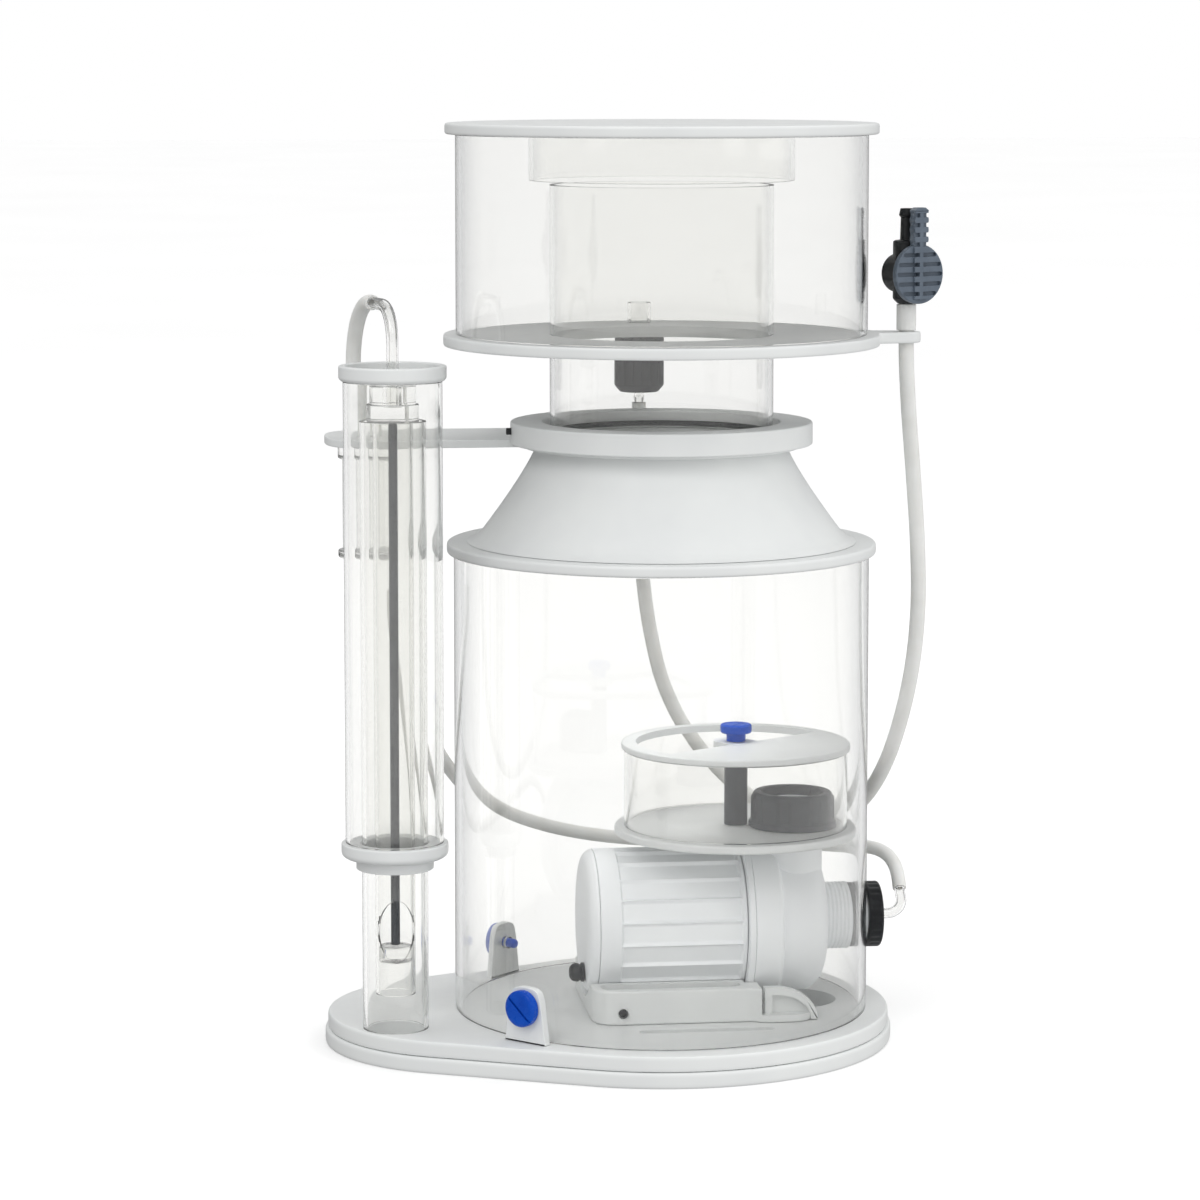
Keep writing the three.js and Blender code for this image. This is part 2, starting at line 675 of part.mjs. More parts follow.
function buildChamber() {
  const group = groupAt(CHAMBER.x, CHAMBER.y, 0);
  const outletX = OUTLET.x - CHAMBER.x;
  const outletY = OUTLET.y - CHAMBER.y;
  const floorHole = disc(OUTLET.outer + 0.4, 0, 200, MIDDLE).translate(outletX, outletY, 0);
  add(group, "chamber_floor", cut(disc(CHAMBER.floor, CHAMBER.low, CHAMBER.deck, ROUND), floorHole), WHITE);
  const wallHigh = CHAMBER.high - 5 - GAP;
  const wall = ring(CHAMBER.wall, CHAMBER.wall - 2.5, CHAMBER.deck + GAP, wallHigh, ROUND);
  add(group, "chamber_wall", wall, CLEAR);

  // The cover is open on one side of a chord, and a round tongue carries the screw at its centre.
  const rim = 73;
  const chord = -9;
  const open = new THREE.Shape();
  const reach = Math.acos(chord / rim);
  open.absarc(0, 0, rim, -reach, reach, false);
  open.closePath();
  const opening = extruded(open, 200, 220, 24).rotateZ(degrees(124));
  const tongue = disc(13, 200, 220, MIDDLE);
  const neck = box(-14, 0, -13, 13, 200, 220).rotateZ(degrees(124));
  const cover = disc(CHAMBER.top, wallHigh + GAP, CHAMBER.high, ROUND);
  const windows = cut(opening, tongue, neck);
  const screwHole = disc(3.6, 200, 220, SMALL);
  add(group, "chamber_top", cut(cover, windows, screwHole), WHITE);

  const post = disc(8.5, CHAMBER.deck + GAP, wallHigh, MIDDLE);
  add(group, "chamber_post", cut(post, disc(3.6, 190, 215, SMALL)), DARK_GREY);
  const head = turned(
    [
      [0, 194],
      [3, 194],
      [3, CHAMBER.high + GAP],
      [7, CHAMBER.high + GAP],
      [7, CHAMBER.high + 6],
      [11.5, CHAMBER.high + 6],
      [11.5, CHAMBER.high + 13],
      [0, CHAMBER.high + 13],
    ],
    MIDDLE,
  );
  add(group, "chamber_screw", head, BLUE);

  const nutLow = CHAMBER.deck + GAP;
  const nut = turned(
    [
      [OUTLET.outer + 0.8, nutLow],
      [32, nutLow],
      [32, nutLow + 4],
      [30.5, nutLow + 4],
      [30.5, nutLow + 20],
      [27, nutLow + 25.5],
      [22.5, nutLow + 25.5],
      [OUTLET.outer + 0.8, nutLow + 23.5],
      [OUTLET.outer + 0.8, nutLow],
    ],
    MIDDLE,
  );
  add(group, "union_nut", nut.translate(outletX, outletY, 0), DARK_GREY);
}

// ---- collector cup ----

function buildCup() {
  const plate = disc(CUP.floor, CUP.low, CUP.deck, ROUND);
  const tab = new THREE.Shape();
  tab.moveTo(140, -14);
  tab.lineTo(VALVE.x, -10.5);
  tab.absarc(VALVE.x, 0, 10.5, -Math.PI / 2, Math.PI / 2, false);
  tab.lineTo(140, 14);
  tab.closePath();
  const holes = [
    disc(NECK.outer + GAP, 500, 520, ROUND),
    disc(DRAIN.stub + GAP, 500, 520, SMALL).translate(0, DRAIN.y, 0),
    disc(DRAIN_HOSE_RADIUS + 0.6, 500, 520, SMALL).translate(VALVE.x, 0, 0),
  ];
  const floor = joined(plate, extruded(tab, CUP.low + 1, CUP.deck - 1, 8));
  add(skimmer, "cup_floor", cut(floor, ...holes), WHITE);
  const deck = CUP.deck + GAP;
  add(skimmer, "cup_wall", ring(CUP.wall, CUP.wall - CUP.thick, deck, CUP.high, ROUND), CLEAR);
  add(skimmer, "neck_tube", ring(NECK.outer, NECK.outer - NECK.wall, NECK.low, NECK.high, ROUND), CLEAR);
}

function buildDrain() {
  const group = groupAt(0, DRAIN.y, 0);
  const shoulder = 480;
  const tube = turned(
    [
      [2.2, DRAIN.end],
      [3.8, DRAIN.end],
      [3.8, shoulder],
      [DRAIN.stub, shoulder],
      [DRAIN.stub, DRAIN.high],
      [DRAIN.bore, DRAIN.high],
      [DRAIN.bore, shoulder + 3],
      [2.2, shoulder + 3],
      [2.2, DRAIN.end],
    ],
    SMALL,
  );
  add(group, "drain_tube", tube, CLEAR);
  const nut = turned(
    [
      [4.4, DRAIN.nutLow],
      [DRAIN.nut - 4, DRAIN.nutLow],
      [DRAIN.nut, DRAIN.nutLow + 4],
      [DRAIN.nut, CUP.low - GAP],
      [DRAIN.stub + 0.5, CUP.low - GAP],
      [DRAIN.stub + 0.5, shoulder - 0.7],
      [4.4, shoulder - 0.7],
      [4.4, DRAIN.nutLow],
    ],
    SMALL,
  );
  add(group, "drain_nut", nut, BLACK);
}

// The stopcock: an upright body with a cross bore, and a lever handle on the side that faces forwards.
function buildValve() {
  const group = groupAt(VALVE.x, 0, VALVE.z);
  const trunk = turned(
    [
      [0, -21.7],
      [7, -21.7],
      [VALVE.body, -18.5],
      [VALVE.body, 24],
      [5, 24],
      [5, 42],
      [6, 42],
      [6, 47],
      [0, 47],
    ],
    MIDDLE,
  );
  const turn = degrees(VALVE.turn);
  const boss = alongX(disc(14, -12.5, 10.2, MIDDLE)).rotateZ(turn);
  const socket = alongX(disc(5.5, 4, 13, SMALL)).rotateZ(turn);
  add(group, "valve_body", cut(joined(trunk, boss), socket), BLACK);

  const dial = alongX(disc(21.5, 10.6, 15.5, MIDDLE));
  const lever = box(10.6, 17.5, -6, 6, -18, 48);
  const stem = alongX(disc(5, 4.4, 12, SMALL));
  const handle = joined(dial, lever, stem).rotateZ(turn);
  add(group, "valve_handle", handle, HANDLE_BLUE);
}

function buildLid() {
  add(skimmer, "lid_plate", disc(LID.outer, LID.low, LID.high, ROUND), WHITE);
  const skirt = ring(LID.skirt, LID.skirt - 3, LID.skirtLow, LID.low - GAP, ROUND);
  add(skimmer, "lid_skirt", skirt, CLEAR);
}

buildBase();
buildBody();
buildCone();
buildCollar();
buildSilencer();
buildTower();
buildBridge();
for (const [name, angle] of SCREW_STATIONS) buildScrewStation(name, angle);
const pump = groupAt(0, 0, PUMP.z);
buildMotor(pump);
buildVolute(pump);
buildElbow(pump);
buildRotor(pump);
buildFoot();
buildChamber();
buildCup();
buildDrain();
buildValve();
buildLid();
add(skimmer, "air_hose", cord(AIR_ROUTE, AIR_HOSE_RADIUS, 8, 34), SILICONE);
add(skimmer, "drain_hose", cord(DRAIN_ROUTE, DRAIN_HOSE_RADIUS, 8, 38), SILICONE);

export default skimmer;
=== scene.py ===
"""The looks of an in-sump protein skimmer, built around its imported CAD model.

Sizes are in millimetres and become metres as each mesh is made. The origin is on the floor under the
reaction tube's axis; +X points to the pump inlet, +Y to the rear and +Z up.
"""

import json
import math

import bmesh
import bpy
import numpy as np
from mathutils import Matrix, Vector


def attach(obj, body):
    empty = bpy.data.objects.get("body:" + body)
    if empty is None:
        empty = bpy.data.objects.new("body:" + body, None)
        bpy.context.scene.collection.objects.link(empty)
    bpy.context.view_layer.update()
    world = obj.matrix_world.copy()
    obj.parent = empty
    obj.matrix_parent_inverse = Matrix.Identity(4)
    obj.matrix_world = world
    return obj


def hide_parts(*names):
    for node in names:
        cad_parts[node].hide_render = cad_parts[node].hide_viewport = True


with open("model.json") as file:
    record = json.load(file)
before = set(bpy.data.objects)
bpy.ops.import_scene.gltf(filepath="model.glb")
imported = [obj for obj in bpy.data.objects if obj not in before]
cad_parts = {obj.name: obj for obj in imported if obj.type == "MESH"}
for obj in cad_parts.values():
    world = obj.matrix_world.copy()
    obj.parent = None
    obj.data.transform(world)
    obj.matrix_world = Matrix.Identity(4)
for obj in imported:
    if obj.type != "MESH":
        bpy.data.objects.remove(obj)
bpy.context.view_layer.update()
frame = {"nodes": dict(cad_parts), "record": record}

MM = 0.001
BODY_OF = {node: body for body, nodes in frame["record"]["behaviour"]["bodies"].items() for node in nodes}
SLOT_OF = {entry["node"]: entry["material_slot"] for entry in frame["record"]["subparts"]}


# ---- camera ----

camera_data = bpy.data.cameras.new("camera")
camera_data.lens = 123.8
camera_data.shift_y = -0.08
camera_data.clip_end = 60
camera = bpy.data.objects.new("camera", camera_data)
bpy.context.scene.collection.objects.link(camera)
bpy.context.scene.camera = camera
PITCH, YAW = math.radians(6.29), math.radians(7.12)
looking = Vector(
    (math.sin(YAW) * math.cos(PITCH), math.cos(YAW) * math.cos(PITCH), -math.sin(PITCH))
)
camera.location = (-0.4113, -2.9356, 0.7162)
camera.rotation_mode = "QUATERNION"
camera.rotation_quaternion = looking.to_track_quat("-Z", "Y")


# ---- finishes ----


def linear(colour):
    """An sRGB hex colour as linear RGBA: c / 12.92 up to 0.04045, else ((c + 0.055) / 1.055) ^ 2.4."""
    value = np.array([int(colour[i : i + 2], 16) for i in (1, 3, 5)]) / 255
    curve = np.where(value <= 0.04045, value / 12.92, ((value + 0.055) / 1.055) ** 2.4)
    return (*curve.tolist(), 1.0)


def add(tree, kind, sockets=None, **settings):
    """Adds a node; sockets maps an input's name to a value or to the output that feeds it."""
    node = tree.nodes.new(kind)
    for key, value in settings.items():
        setattr(node, key, value)
    for key, value in (sockets or {}).items():
        socket = node.inputs[key]
        if isinstance(value, bpy.types.NodeSocket):
            tree.links.new(value, socket)
        else:
            socket.default_value = value
    return node


def plastic(name, first, second, gloss, skin, depth, mottle=12, patch=4, shader=None):
    """A whole plastic finish in Object coordinates. Its colour drifts between two hex colours in patches of
    mottle millimetres, its roughness drifts between the two gloss values in patches of patch millimetres,
    and its skin is a bump depth millimetres high with grains skin millimetres across. shader holds the
    surface's other sockets."""
    material = bpy.data.materials.new(name)
    material.use_nodes = True
    tree = material.node_tree
    tree.nodes.clear()
    place = add(tree, "ShaderNodeTexCoord").outputs["Object"]
    lumps = [
        add(tree, "ShaderNodeTexNoise", {"Vector": place, "Scale": 1000 / size, "Detail": 3.0}).outputs["Fac"]
        for size in (mottle, patch, skin)
    ]
    drift = add(tree, "ShaderNodeMapRange", {"Value": lumps[0], "From Min": 0.3, "From Max": 0.7})
    colour = add(
        tree,
        "ShaderNodeMix",
        {"Factor": drift.outputs["Result"], 6: linear(first), 7: linear(second)},
        data_type="RGBA",
    )
    dull = add(
        tree,
        "ShaderNodeMapRange",
        {"Value": lumps[1], "From Min": 0.3, "From Max": 0.7, "To Min": gloss[0], "To Max": gloss[1]},
    )
    relief = add(tree, "ShaderNodeBump", {"Height": lumps[2], "Strength": 1.0, "Distance": depth * MM})
    sockets = {
        "Base Color": colour.outputs[2],
        "Roughness": dull.outputs["Result"],
        "IOR": 1.5,
        "Normal": relief.outputs["Normal"],
        **(shader or {}),
    }
    surface = add(tree, "ShaderNodeBsdfPrincipled", sockets)
    add(tree, "ShaderNodeOutputMaterial", {"Surface": surface.outputs["BSDF"]})
    return material


def clear_acrylic(name):
    """Extruded acrylic tube, polished: water-clear face on, with a grey shade painted into its colour where the eye
    runs along the wall, and with a faint draw waviness, lumps 14 mm round and eight times as long, that bends
    highlights."""
    material = bpy.data.materials.new(name)
    material.use_nodes = True
    tree = material.node_tree
    tree.nodes.clear()
    place = add(tree, "ShaderNodeTexCoord").outputs["Object"]
    drawn = add(tree, "ShaderNodeMapping", {"Vector": place, "Scale": (1.0, 1.0, 0.12)}).outputs["Vector"]
    wave = add(tree, "ShaderNodeTexNoise", {"Vector": drawn, "Scale": 1000 / 14, "Detail": 1.0})
    relief = add(
        tree, "ShaderNodeBump", {"Height": wave.outputs["Fac"], "Strength": 1.0, "Distance": 0.0015 * MM}
    )
    # Painted shade: the faint face-on tint turns to grey as the wall is seen more edge on.
    along = add(tree, "ShaderNodeLayerWeight", {"Blend": 0.5}).outputs["Facing"]
    rim = add(tree, "ShaderNodeMapRange", {"Value": along, "From Min": 0.55, "From Max": 0.95})
    tint_and_edge_shade = add(
        tree,
        "ShaderNodeMix",
        {"Factor": rim.outputs["Result"], 6: linear("#FBFBFA"), 7: linear("#D6D8DA")},
        data_type="RGBA",
    )
    sockets = {
        "Base Color": tint_and_edge_shade.outputs[2],
        "Roughness": 0.015,
        "IOR": 1.49,
        "Transmission Weight": 1.0,
        "Normal": relief.outputs["Normal"],
    }
    surface = add(tree, "ShaderNodeBsdfPrincipled", sockets)
    add(tree, "ShaderNodeOutputMaterial", {"Surface": surface.outputs["BSDF"]})
    return material


LOW_SHEEN = {"Specular IOR Level": 0.22}
FINISH = {
    # White PVC sheet, routed and bonded: a soft satin white with a faint mottle and a routed skin.
    "white_pvc": plastic(
        "white_pvc_sheet", "#E0E2E2", "#E6E8E7", (0.32, 0.44), 1.6, 0.012, 55, 9, {"IOR": 1.53}
    ),
    "clear_acrylic": clear_acrylic("clear_extruded_acrylic"),
    # Injection-moulded pump casing: pale cool grey, finely spark-eroded, slightly duller in patches.
    "pump_plastic": plastic(
        "pump_moulding_light_grey", "#F5F7F9", "#F9FBFC", (0.42, 0.55), 0.9, 0.02, 40, 6
    ),
    # Dark grey PVC pipe fittings: moulded, with a low sheen.
    "dark_grey_pvc": plastic(
        "dark_grey_pvc_fitting", "#1E242B", "#282F37", (0.3, 0.42), 1.0, 0.015, shader=LOW_SHEEN
    ),
    # Black polypropylene nuts and the cock's body: nearly black, satin.
    "black_plastic": plastic("black_polypropylene", "#17191C", "#202326", (0.32, 0.45), 0.9, 0.02),
    # The cock's handle: blue-grey PVC, satin.
    "handle_plastic": plastic("blue_grey_pvc_handle", "#5A6572", "#66717E", (0.3, 0.42), 1.0, 0.015),
    # Blue nylon screws: a strong blue with a low waxy gloss.
    "blue_nylon": plastic(
        "blue_nylon_screw", "#0443AE", "#0A50BE", (0.22, 0.34), 0.8, 0.01, shader=LOW_SHEEN
    ),
    # Extruded silicone hose: milky and soft-edged, because light scatters a little way into it.
    "silicone_hose": plastic(
        "milky_silicone_hose",
        "#E3E3DF",
        "#EBEBE8",
        (0.34, 0.48),
        1.2,
        0.01,
        20,
        5,
        {
            "IOR": 1.41,
            "Subsurface Weight": 0.55,
            "Subsurface Radius": (1.0, 0.95, 0.9),
            "Subsurface Scale": 0.004,
        },
    ),
    # Black rubber rings: matt.
    "seal_rubber": plastic("black_rubber_ring", "#1B1C1D", "#252627", (0.7, 0.85), 0.6, 0.02),
    # White ceramic bushes and shaft: smooth, glazed and slightly warm.
    "ceramic": plastic(
        "white_ceramic",
        "#E6E2DA",
        "#EDEAE3",
        (0.15, 0.25),
        0.8,
        0.004,
        shader={"Coat Weight": 0.3, "Coat Roughness": 0.2},
    ),
    # Coated ferrite magnet: dark, faintly metallic grey.
    "magnet": plastic("coated_ferrite_magnet", "#2C2E31", "#36393D", (0.4, 0.55), 0.5, 0.02),
    # Resin poured round the windings: black, glossy on top.
    "potting": plastic("black_potting_resin", "#1D1F22", "#292C30", (0.35, 0.55), 2.0, 0.05),
}

for node, shown in frame["nodes"].items():
    shown.data.materials.clear()
    shown.data.materials.append(FINISH[SLOT_OF[node]])


# ---- mesh helpers ----


def quads(rows, columns, rows_close=False, columns_close=True):
    """The quads of a grid of points, each point joined to the next in its row and in the row after."""
    i = np.arange(rows if rows_close else rows - 1)[:, None]
    j = np.arange(columns if columns_close else columns - 1)[None, :]
    k, m = (i + 1) % rows, (j + 1) % columns
    return np.stack(
        [i * columns + j, i * columns + m, k * columns + m, k * columns + j], axis=-1
    ).reshape(-1, 4)


def softened(corners, steps=5):
    """Rounds each corner (a, b, rounding) with the curve (1-t)^2 A + 2t(1-t) P + t^2 B, where A and B lie
    on the corner P's two edges, a rounding away but never past the middle of an edge."""
    corners = np.array(corners, float)
    middle, rounding = corners[:, :2], corners[:, 2:]
    ends = []
    for shift in (1, -1):
        edge = np.roll(middle, shift, axis=0) - middle
        length = np.maximum(np.linalg.norm(edge, axis=1, keepdims=True), 1e-9)
        ends.append(middle + edge / length * np.minimum(rounding, length / 2))
    t = np.linspace(0, 1, steps)[None, :, None]
    curve = (1 - t) ** 2 * ends[0][:, None] + 2 * t * (1 - t) * middle[:, None] + t**2 * ends[1][:, None]
    return curve.reshape(-1, 2)


def placed(points, at=(0, 0, 0), axis=(0, 0, 1), side=None):
    """Turns points so that their Z lies along axis and their X as near to side as it can, and moves them."""
    up = np.array(axis, float) / np.linalg.norm(axis)
    if side is None:
        side = (1, 0, 0) if abs(up[0]) < 0.9 else (0, 1, 0)
    across = np.array(side, float) - np.dot(side, up) * up
    across /= np.linalg.norm(across)
    basis = np.stack([across, np.cross(up, across), up])
    return np.asarray(points) @ basis + np.array(at, float)


def mesh_piece(name, points, faces, sharp=35):
    """A piece from points in millimetres, its doubled points merged and its faces turned outwards."""
    mesh = bpy.data.meshes.new(name)
    mesh.from_pydata((np.asarray(points).reshape(-1, 3) * MM).tolist(), [], [list(f) for f in faces])
    return finished(name, mesh, sharp)


def finished(name, mesh, sharp=35, gap=2e-6):
    """Closes the mesh's seams and shades it smooth except across edges sharper than the angle."""
    work = bmesh.new()
    work.from_mesh(mesh)
    bmesh.ops.remove_doubles(work, verts=work.verts, dist=gap)
    bmesh.ops.dissolve_degenerate(work, edges=work.edges, dist=1e-7)
    bmesh.ops.recalc_face_normals(work, faces=work.faces)
    work.to_mesh(mesh)
    work.free()
    mesh.shade_smooth()
    mesh.set_sharp_from_angle(angle=math.radians(sharp))
    made = bpy.data.objects.get(name) or bpy.data.objects.new(name, mesh)
    if made.name not in bpy.context.scene.collection.objects:
        bpy.context.scene.collection.objects.link(made)
    return made


def evenly_shaded(piece):
    """Gives each corner the normal of its largest faces, so that a long wall isn't bent by its fillets."""
    even = piece.modifiers.new("even_shading", "WEIGHTED_NORMAL")
    even.mode = "FACE_AREA"
    even.weight = 100
    even.keep_sharp = True
    return piece


def turned(name, corners, facets=96, loop=False, shape=None, **place):
    """A profile of (radius, height, rounding) corners turned about Z: the point (r, z) at turn a is
    (r cos a, r sin a, z). A loop closes on itself. shape(radius, turn, height) may change the radius."""
    profile = softened(corners)
    turn = np.linspace(0, 2 * np.pi, facets, endpoint=False)[None, :]
    radius = profile[:, :1] + 0 * turn
    height = profile[:, 1:] + 0 * turn
    if shape is not None:
        radius = shape(radius, turn, height)
    points = np.stack([radius * np.cos(turn), radius * np.sin(turn), height], axis=-1)
    points = placed(points.reshape(-1, 3), **place)
    return mesh_piece(name, points, quads(len(profile), facets, rows_close=loop).tolist())


def solid_of(name, outer, low, high, edge=0.8, facets=96, **place):
    """A disc or rod with rounded edges."""
    corners = [(0, low, 0), (outer, low, edge), (outer, high, edge), (0, high, 0)]
    return turned(name, corners, facets, **place)


def tube_of(name, outer, inner, low, high, edge=0.5, facets=160, rings=(), **place):
    """A tube with slightly rounded ends, and rings of edges at the heights where holes start and end."""
    corners = [(inner, low, edge), (outer, low, edge)]
    corners += [(outer, z, 0) for z in rings]
    corners += [(outer, high, edge), (inner, high, edge)]
    corners += [(inner, z, 0) for z in rings[::-1]]
    return turned(name, corners, facets, loop=True, **place)


def slab(name, outline, low, high, edge, flare=0.0, **place):
    """A plate: its outline, anticlockwise, drawn in by the inset of an edge profile at each height, with a
    flat top and bottom. flare widens the foot of the plate by that much."""
    outline = np.asarray(outline, float)
    outline = outline[np.linalg.norm(outline - np.roll(outline, 1, axis=0), axis=1) > 0.01]
    ahead = np.roll(outline, -1, axis=0) - np.roll(outline, 1, axis=0)
    ahead /= np.maximum(np.linalg.norm(ahead, axis=1, keepdims=True), 1e-9)
    outward = np.stack([ahead[:, 1], -ahead[:, 0]], axis=1)
    profile = softened(
        [(edge - flare, low, 0), (-flare, low, edge), (0, high, edge), (edge, high, 0)]
    )
    rings = outline[None] - outward[None] * profile[:, 0][:, None, None]
    height = np.broadcast_to(profile[:, 1][:, None, None], rings.shape[:2] + (1,))
    points = placed(np.concatenate([rings, height], axis=-1).reshape(-1, 3), **place)
    count, columns = len(profile), len(outline)
    caps = [np.arange(columns)[::-1].tolist(), (np.arange(columns) + (count - 1) * columns).tolist()]
    return mesh_piece(name, points, quads(count, columns).tolist() + caps)


def arc(centre, radius, start, end, count):
    """Points on a circle from the start to the end angle, in degrees."""
    turn = np.radians(np.linspace(start, end, count))
    return np.stack([centre[0] + radius * np.cos(turn), centre[1] + radius * np.sin(turn)], axis=1)


def through(route, count):
    """A smooth line through the route's points: on each stretch the cubic that has the points' places and
    their chord-weighted directions at its ends, evaluated at even chord distances."""
    route = np.array(route, float)
    chord = np.linalg.norm(np.diff(route, axis=0), axis=1)
    at = np.concatenate([[0], np.cumsum(chord)])
    slope = np.gradient(route, at, axis=0)
    where = np.linspace(0, at[-1], count)
    k = np.clip(np.searchsorted(at, where, side="right") - 1, 0, len(chord) - 1)
    span = chord[k][:, None]
    t = ((where - at[k]) / chord[k])[:, None]
    return (
        (2 * t**3 - 3 * t**2 + 1) * route[k]
        + (t**3 - 2 * t**2 + t) * span * slope[k]
        + (3 * t**2 - 2 * t**3) * route[k + 1]
        + (t**3 - t**2) * span * slope[k + 1]
    )


def carried(path, radius, facets=24):
    """Rings of the given radius square to the path. Each ring's side direction is the last one's, less
    its part along the path, so that the rings never twist."""
    ahead = np.gradient(path, axis=0)
    ahead /= np.linalg.norm(ahead, axis=1, keepdims=True)
    side = np.empty_like(ahead)
    side[0] = np.cross(ahead[0], (0.3, 0.9, 0.2))
    for i in range(len(path)):
        last = side[max(i - 1, 0)]
        side[i] = last - np.dot(last, ahead[i]) * ahead[i]
        side[i] /= np.linalg.norm(side[i])
    over = np.cross(ahead, side)
    turn = np.linspace(0, 2 * np.pi, facets, endpoint=False)[None, :, None]
    spokes = side[:, None] * np.cos(turn) + over[:, None] * np.sin(turn)
    return path[:, None] + spokes * np.reshape(radius, (-1, 1, 1))


def pipe(name, path, outer, inner, facets=24):
    """A bent tube: the outer rings forwards along the path and the inner rings back, closed at the ends."""
    rings = np.concatenate([carried(path, outer, facets), carried(path, inner, facets)[::-1]])
    return mesh_piece(name, rings, quads(len(rings), facets, rows_close=True).tolist())


def reshaped(piece, *tools, operation="DIFFERENCE", sharp=35):
    """Cuts the tools out of the piece, or joins them to it, and removes them."""
    for tool in tools:
        step = piece.modifiers.new(operation.lower(), "BOOLEAN")
        step.operation = operation
        step.solver = "MANIFOLD"
        step.object = tool
    ready = piece.evaluated_get(bpy.context.evaluated_depsgraph_get())
    shaped = bpy.data.meshes.new_from_object(ready)
    piece.modifiers.clear()
    piece.data = shaped
    for tool in tools:
        bpy.data.objects.remove(tool)
    return finished(piece.name, shaped, sharp, 1e-7)


def stands_for(piece, node, *others):
    """The piece takes the node's place, body, slot and finish."""
    piece.data.materials.clear()
    piece.data.materials.append(FINISH[SLOT_OF[node]])
    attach(piece, BODY_OF[node])
    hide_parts(node, *others)
    evenly_shaded(piece)
    # Water-clear walls let the lamps shine straight in, as thin acrylic does.
    piece.visible_shadow = SLOT_OF[node] != "clear_acrylic"
    return piece


# ---- hoses ----

AIR_ROUTE = [
    (-198, 45, 324.7),
    (-198, 45, 312),
    (-195, 46.5, 296),
    (-187, 50, 276),
    (-178, 55.5, 250),
    (-168, 62, 223),
    (-156, 71, 199),
    (-143.5, 82, 180),
    (-126, 102, 160),
    (-106, 123.5, 144.8),
    (-82, 141, 133),
    (-57, 152.7, 124.3),
    (-25, 161, 117),
    (6, 162.9, 113.2),
    (40, 158, 112),
    (72, 146.5, 112.5),
    (101, 131, 114.5),
    (128, 110, 117),
    (150, 86, 119.5),
    (163.5, 67, 121.5),
    (172, 53, 121.5),
    (177, 41, 119),
    (179.5, 30, 114.3),
    (180, 20.2, 108.5),
    (180, 13.06, 100.17),
]
DRAIN_ROUTE = [
    (0, 127, 452.7),
    (0, 127.3, 443),
    (0, 129.5, 428),
    (0, 136, 410),
    (1, 147, 391),
    (3, 157.5, 374),
    (5, 163.5, 356),
    (7, 165, 335),
    (9, 165, 312),
    (15, 165, 272),
    (25, 163, 233),
    (45, 158.7, 194),
    (69, 150, 166),
    (93, 136.5, 148),
    (115.5, 118, 139),
    (134, 97, 137.5),
    (149, 71, 146),
    (160, 42, 165),
    (170, 18, 194),
    (179.5, 6, 232),
    (186.5, 2, 272),
    (189.5, 0.6, 312),
    (188.5, 0, 360),
    (185, 0, 410),
    (181, 0, 460),
    (179.2, 0, 495),
    (179, 0, 515),
    (179, 0, 533),
]
TOWER = np.array([-198.0, -54.0])
SILENCER = np.array([-208.0, 45.0])
BRIDGE_LEG = np.array([-219.0, 45.0])
BRIDGE_TOP = 537.0


def bridge_line(bend, start, end, count=40):
    """Only the makings of a quarter circle of the given bend in the upright plane from the tower to the silencer's
    leg: the unit direction across, count turns from the start to the end angle in degrees, as radians, and the bend.
    It doesn't make the points, centre + bend (sin a, cos a)."""
    across = (BRIDGE_LEG - TOWER) / np.linalg.norm(BRIDGE_LEG - TOWER)
    turn = np.radians(np.linspace(start, end, count))[:, None]
    return across, turn, bend


def hose(node, path, radius):
    """A silicone hose: a tube carried along its path, and closed by flat ends inside its fittings."""
    made = pipe(f"{node}_run", path, radius, radius * 0.62)
    stands_for(made, node)
    return made


def bridge_paths():
    """The rigid tube rises, bends over and runs level; the hose bends down from it on to the arm."""
    run = BRIDGE_LEG - TOWER
    span = np.linalg.norm(run)
    across = run / span
    turn = np.radians(np.linspace(0, 90, 17))

    def at(distance, height):
        flat = TOWER[None] + across[None] * np.reshape(distance, (-1, 1))
        return np.concatenate([flat, np.reshape(height, (-1, 1))], axis=1)

    bend, leg = 25.0, span - 54.0
    rigid = np.concatenate(
        [
            at(np.zeros(4), np.linspace(467.5, 505, 4)),
            at(bend - bend * np.cos(turn), BRIDGE_TOP - bend + bend * np.sin(turn)),
            at(np.linspace(30, 49.7, 4), np.full(4, BRIDGE_TOP)),
        ]
    )
    soft = np.concatenate(
        [
            at([50.0], [BRIDGE_TOP]),
            at(span - leg + leg * np.sin(turn), BRIDGE_TOP - leg + leg * np.cos(turn)),
            at(np.full(4, span), np.linspace(478, 437.5, 4)),
        ]
    )
    return rigid, soft


hose("air_hose", through(AIR_ROUTE, 170), 5.0)
hose("drain_hose", through(DRAIN_ROUTE, 240), 5.5)
rigid_path, soft_path = bridge_paths()
hose("bridge_hose", through(soft_path, 60), 5.5)


# ---- base ----


def oval(inset=0.0):
    """The base's outline: an arc of 168 about the body's axis and one of 112 about a point 133 towards
    the tower, joined by their common tangents."""
    lean = math.degrees(math.acos((168 - 112) / -133))
    nose = arc((0, 0), 168 - inset, -lean, lean, 120)
    tail = arc((-133, 0), 112 - inset, lean, 360 - lean, 90)
    return np.concatenate([nose, tail])


def capsule(start, end, half):
    """The outline of a slot with round ends between two points."""
    lean = math.degrees(math.atan2(end[1] - start[1], end[0] - start[0]))
    return np.concatenate([arc(end, half, lean - 90, lean + 90, 24), arc(start, half, lean + 90, lean + 270, 24)])


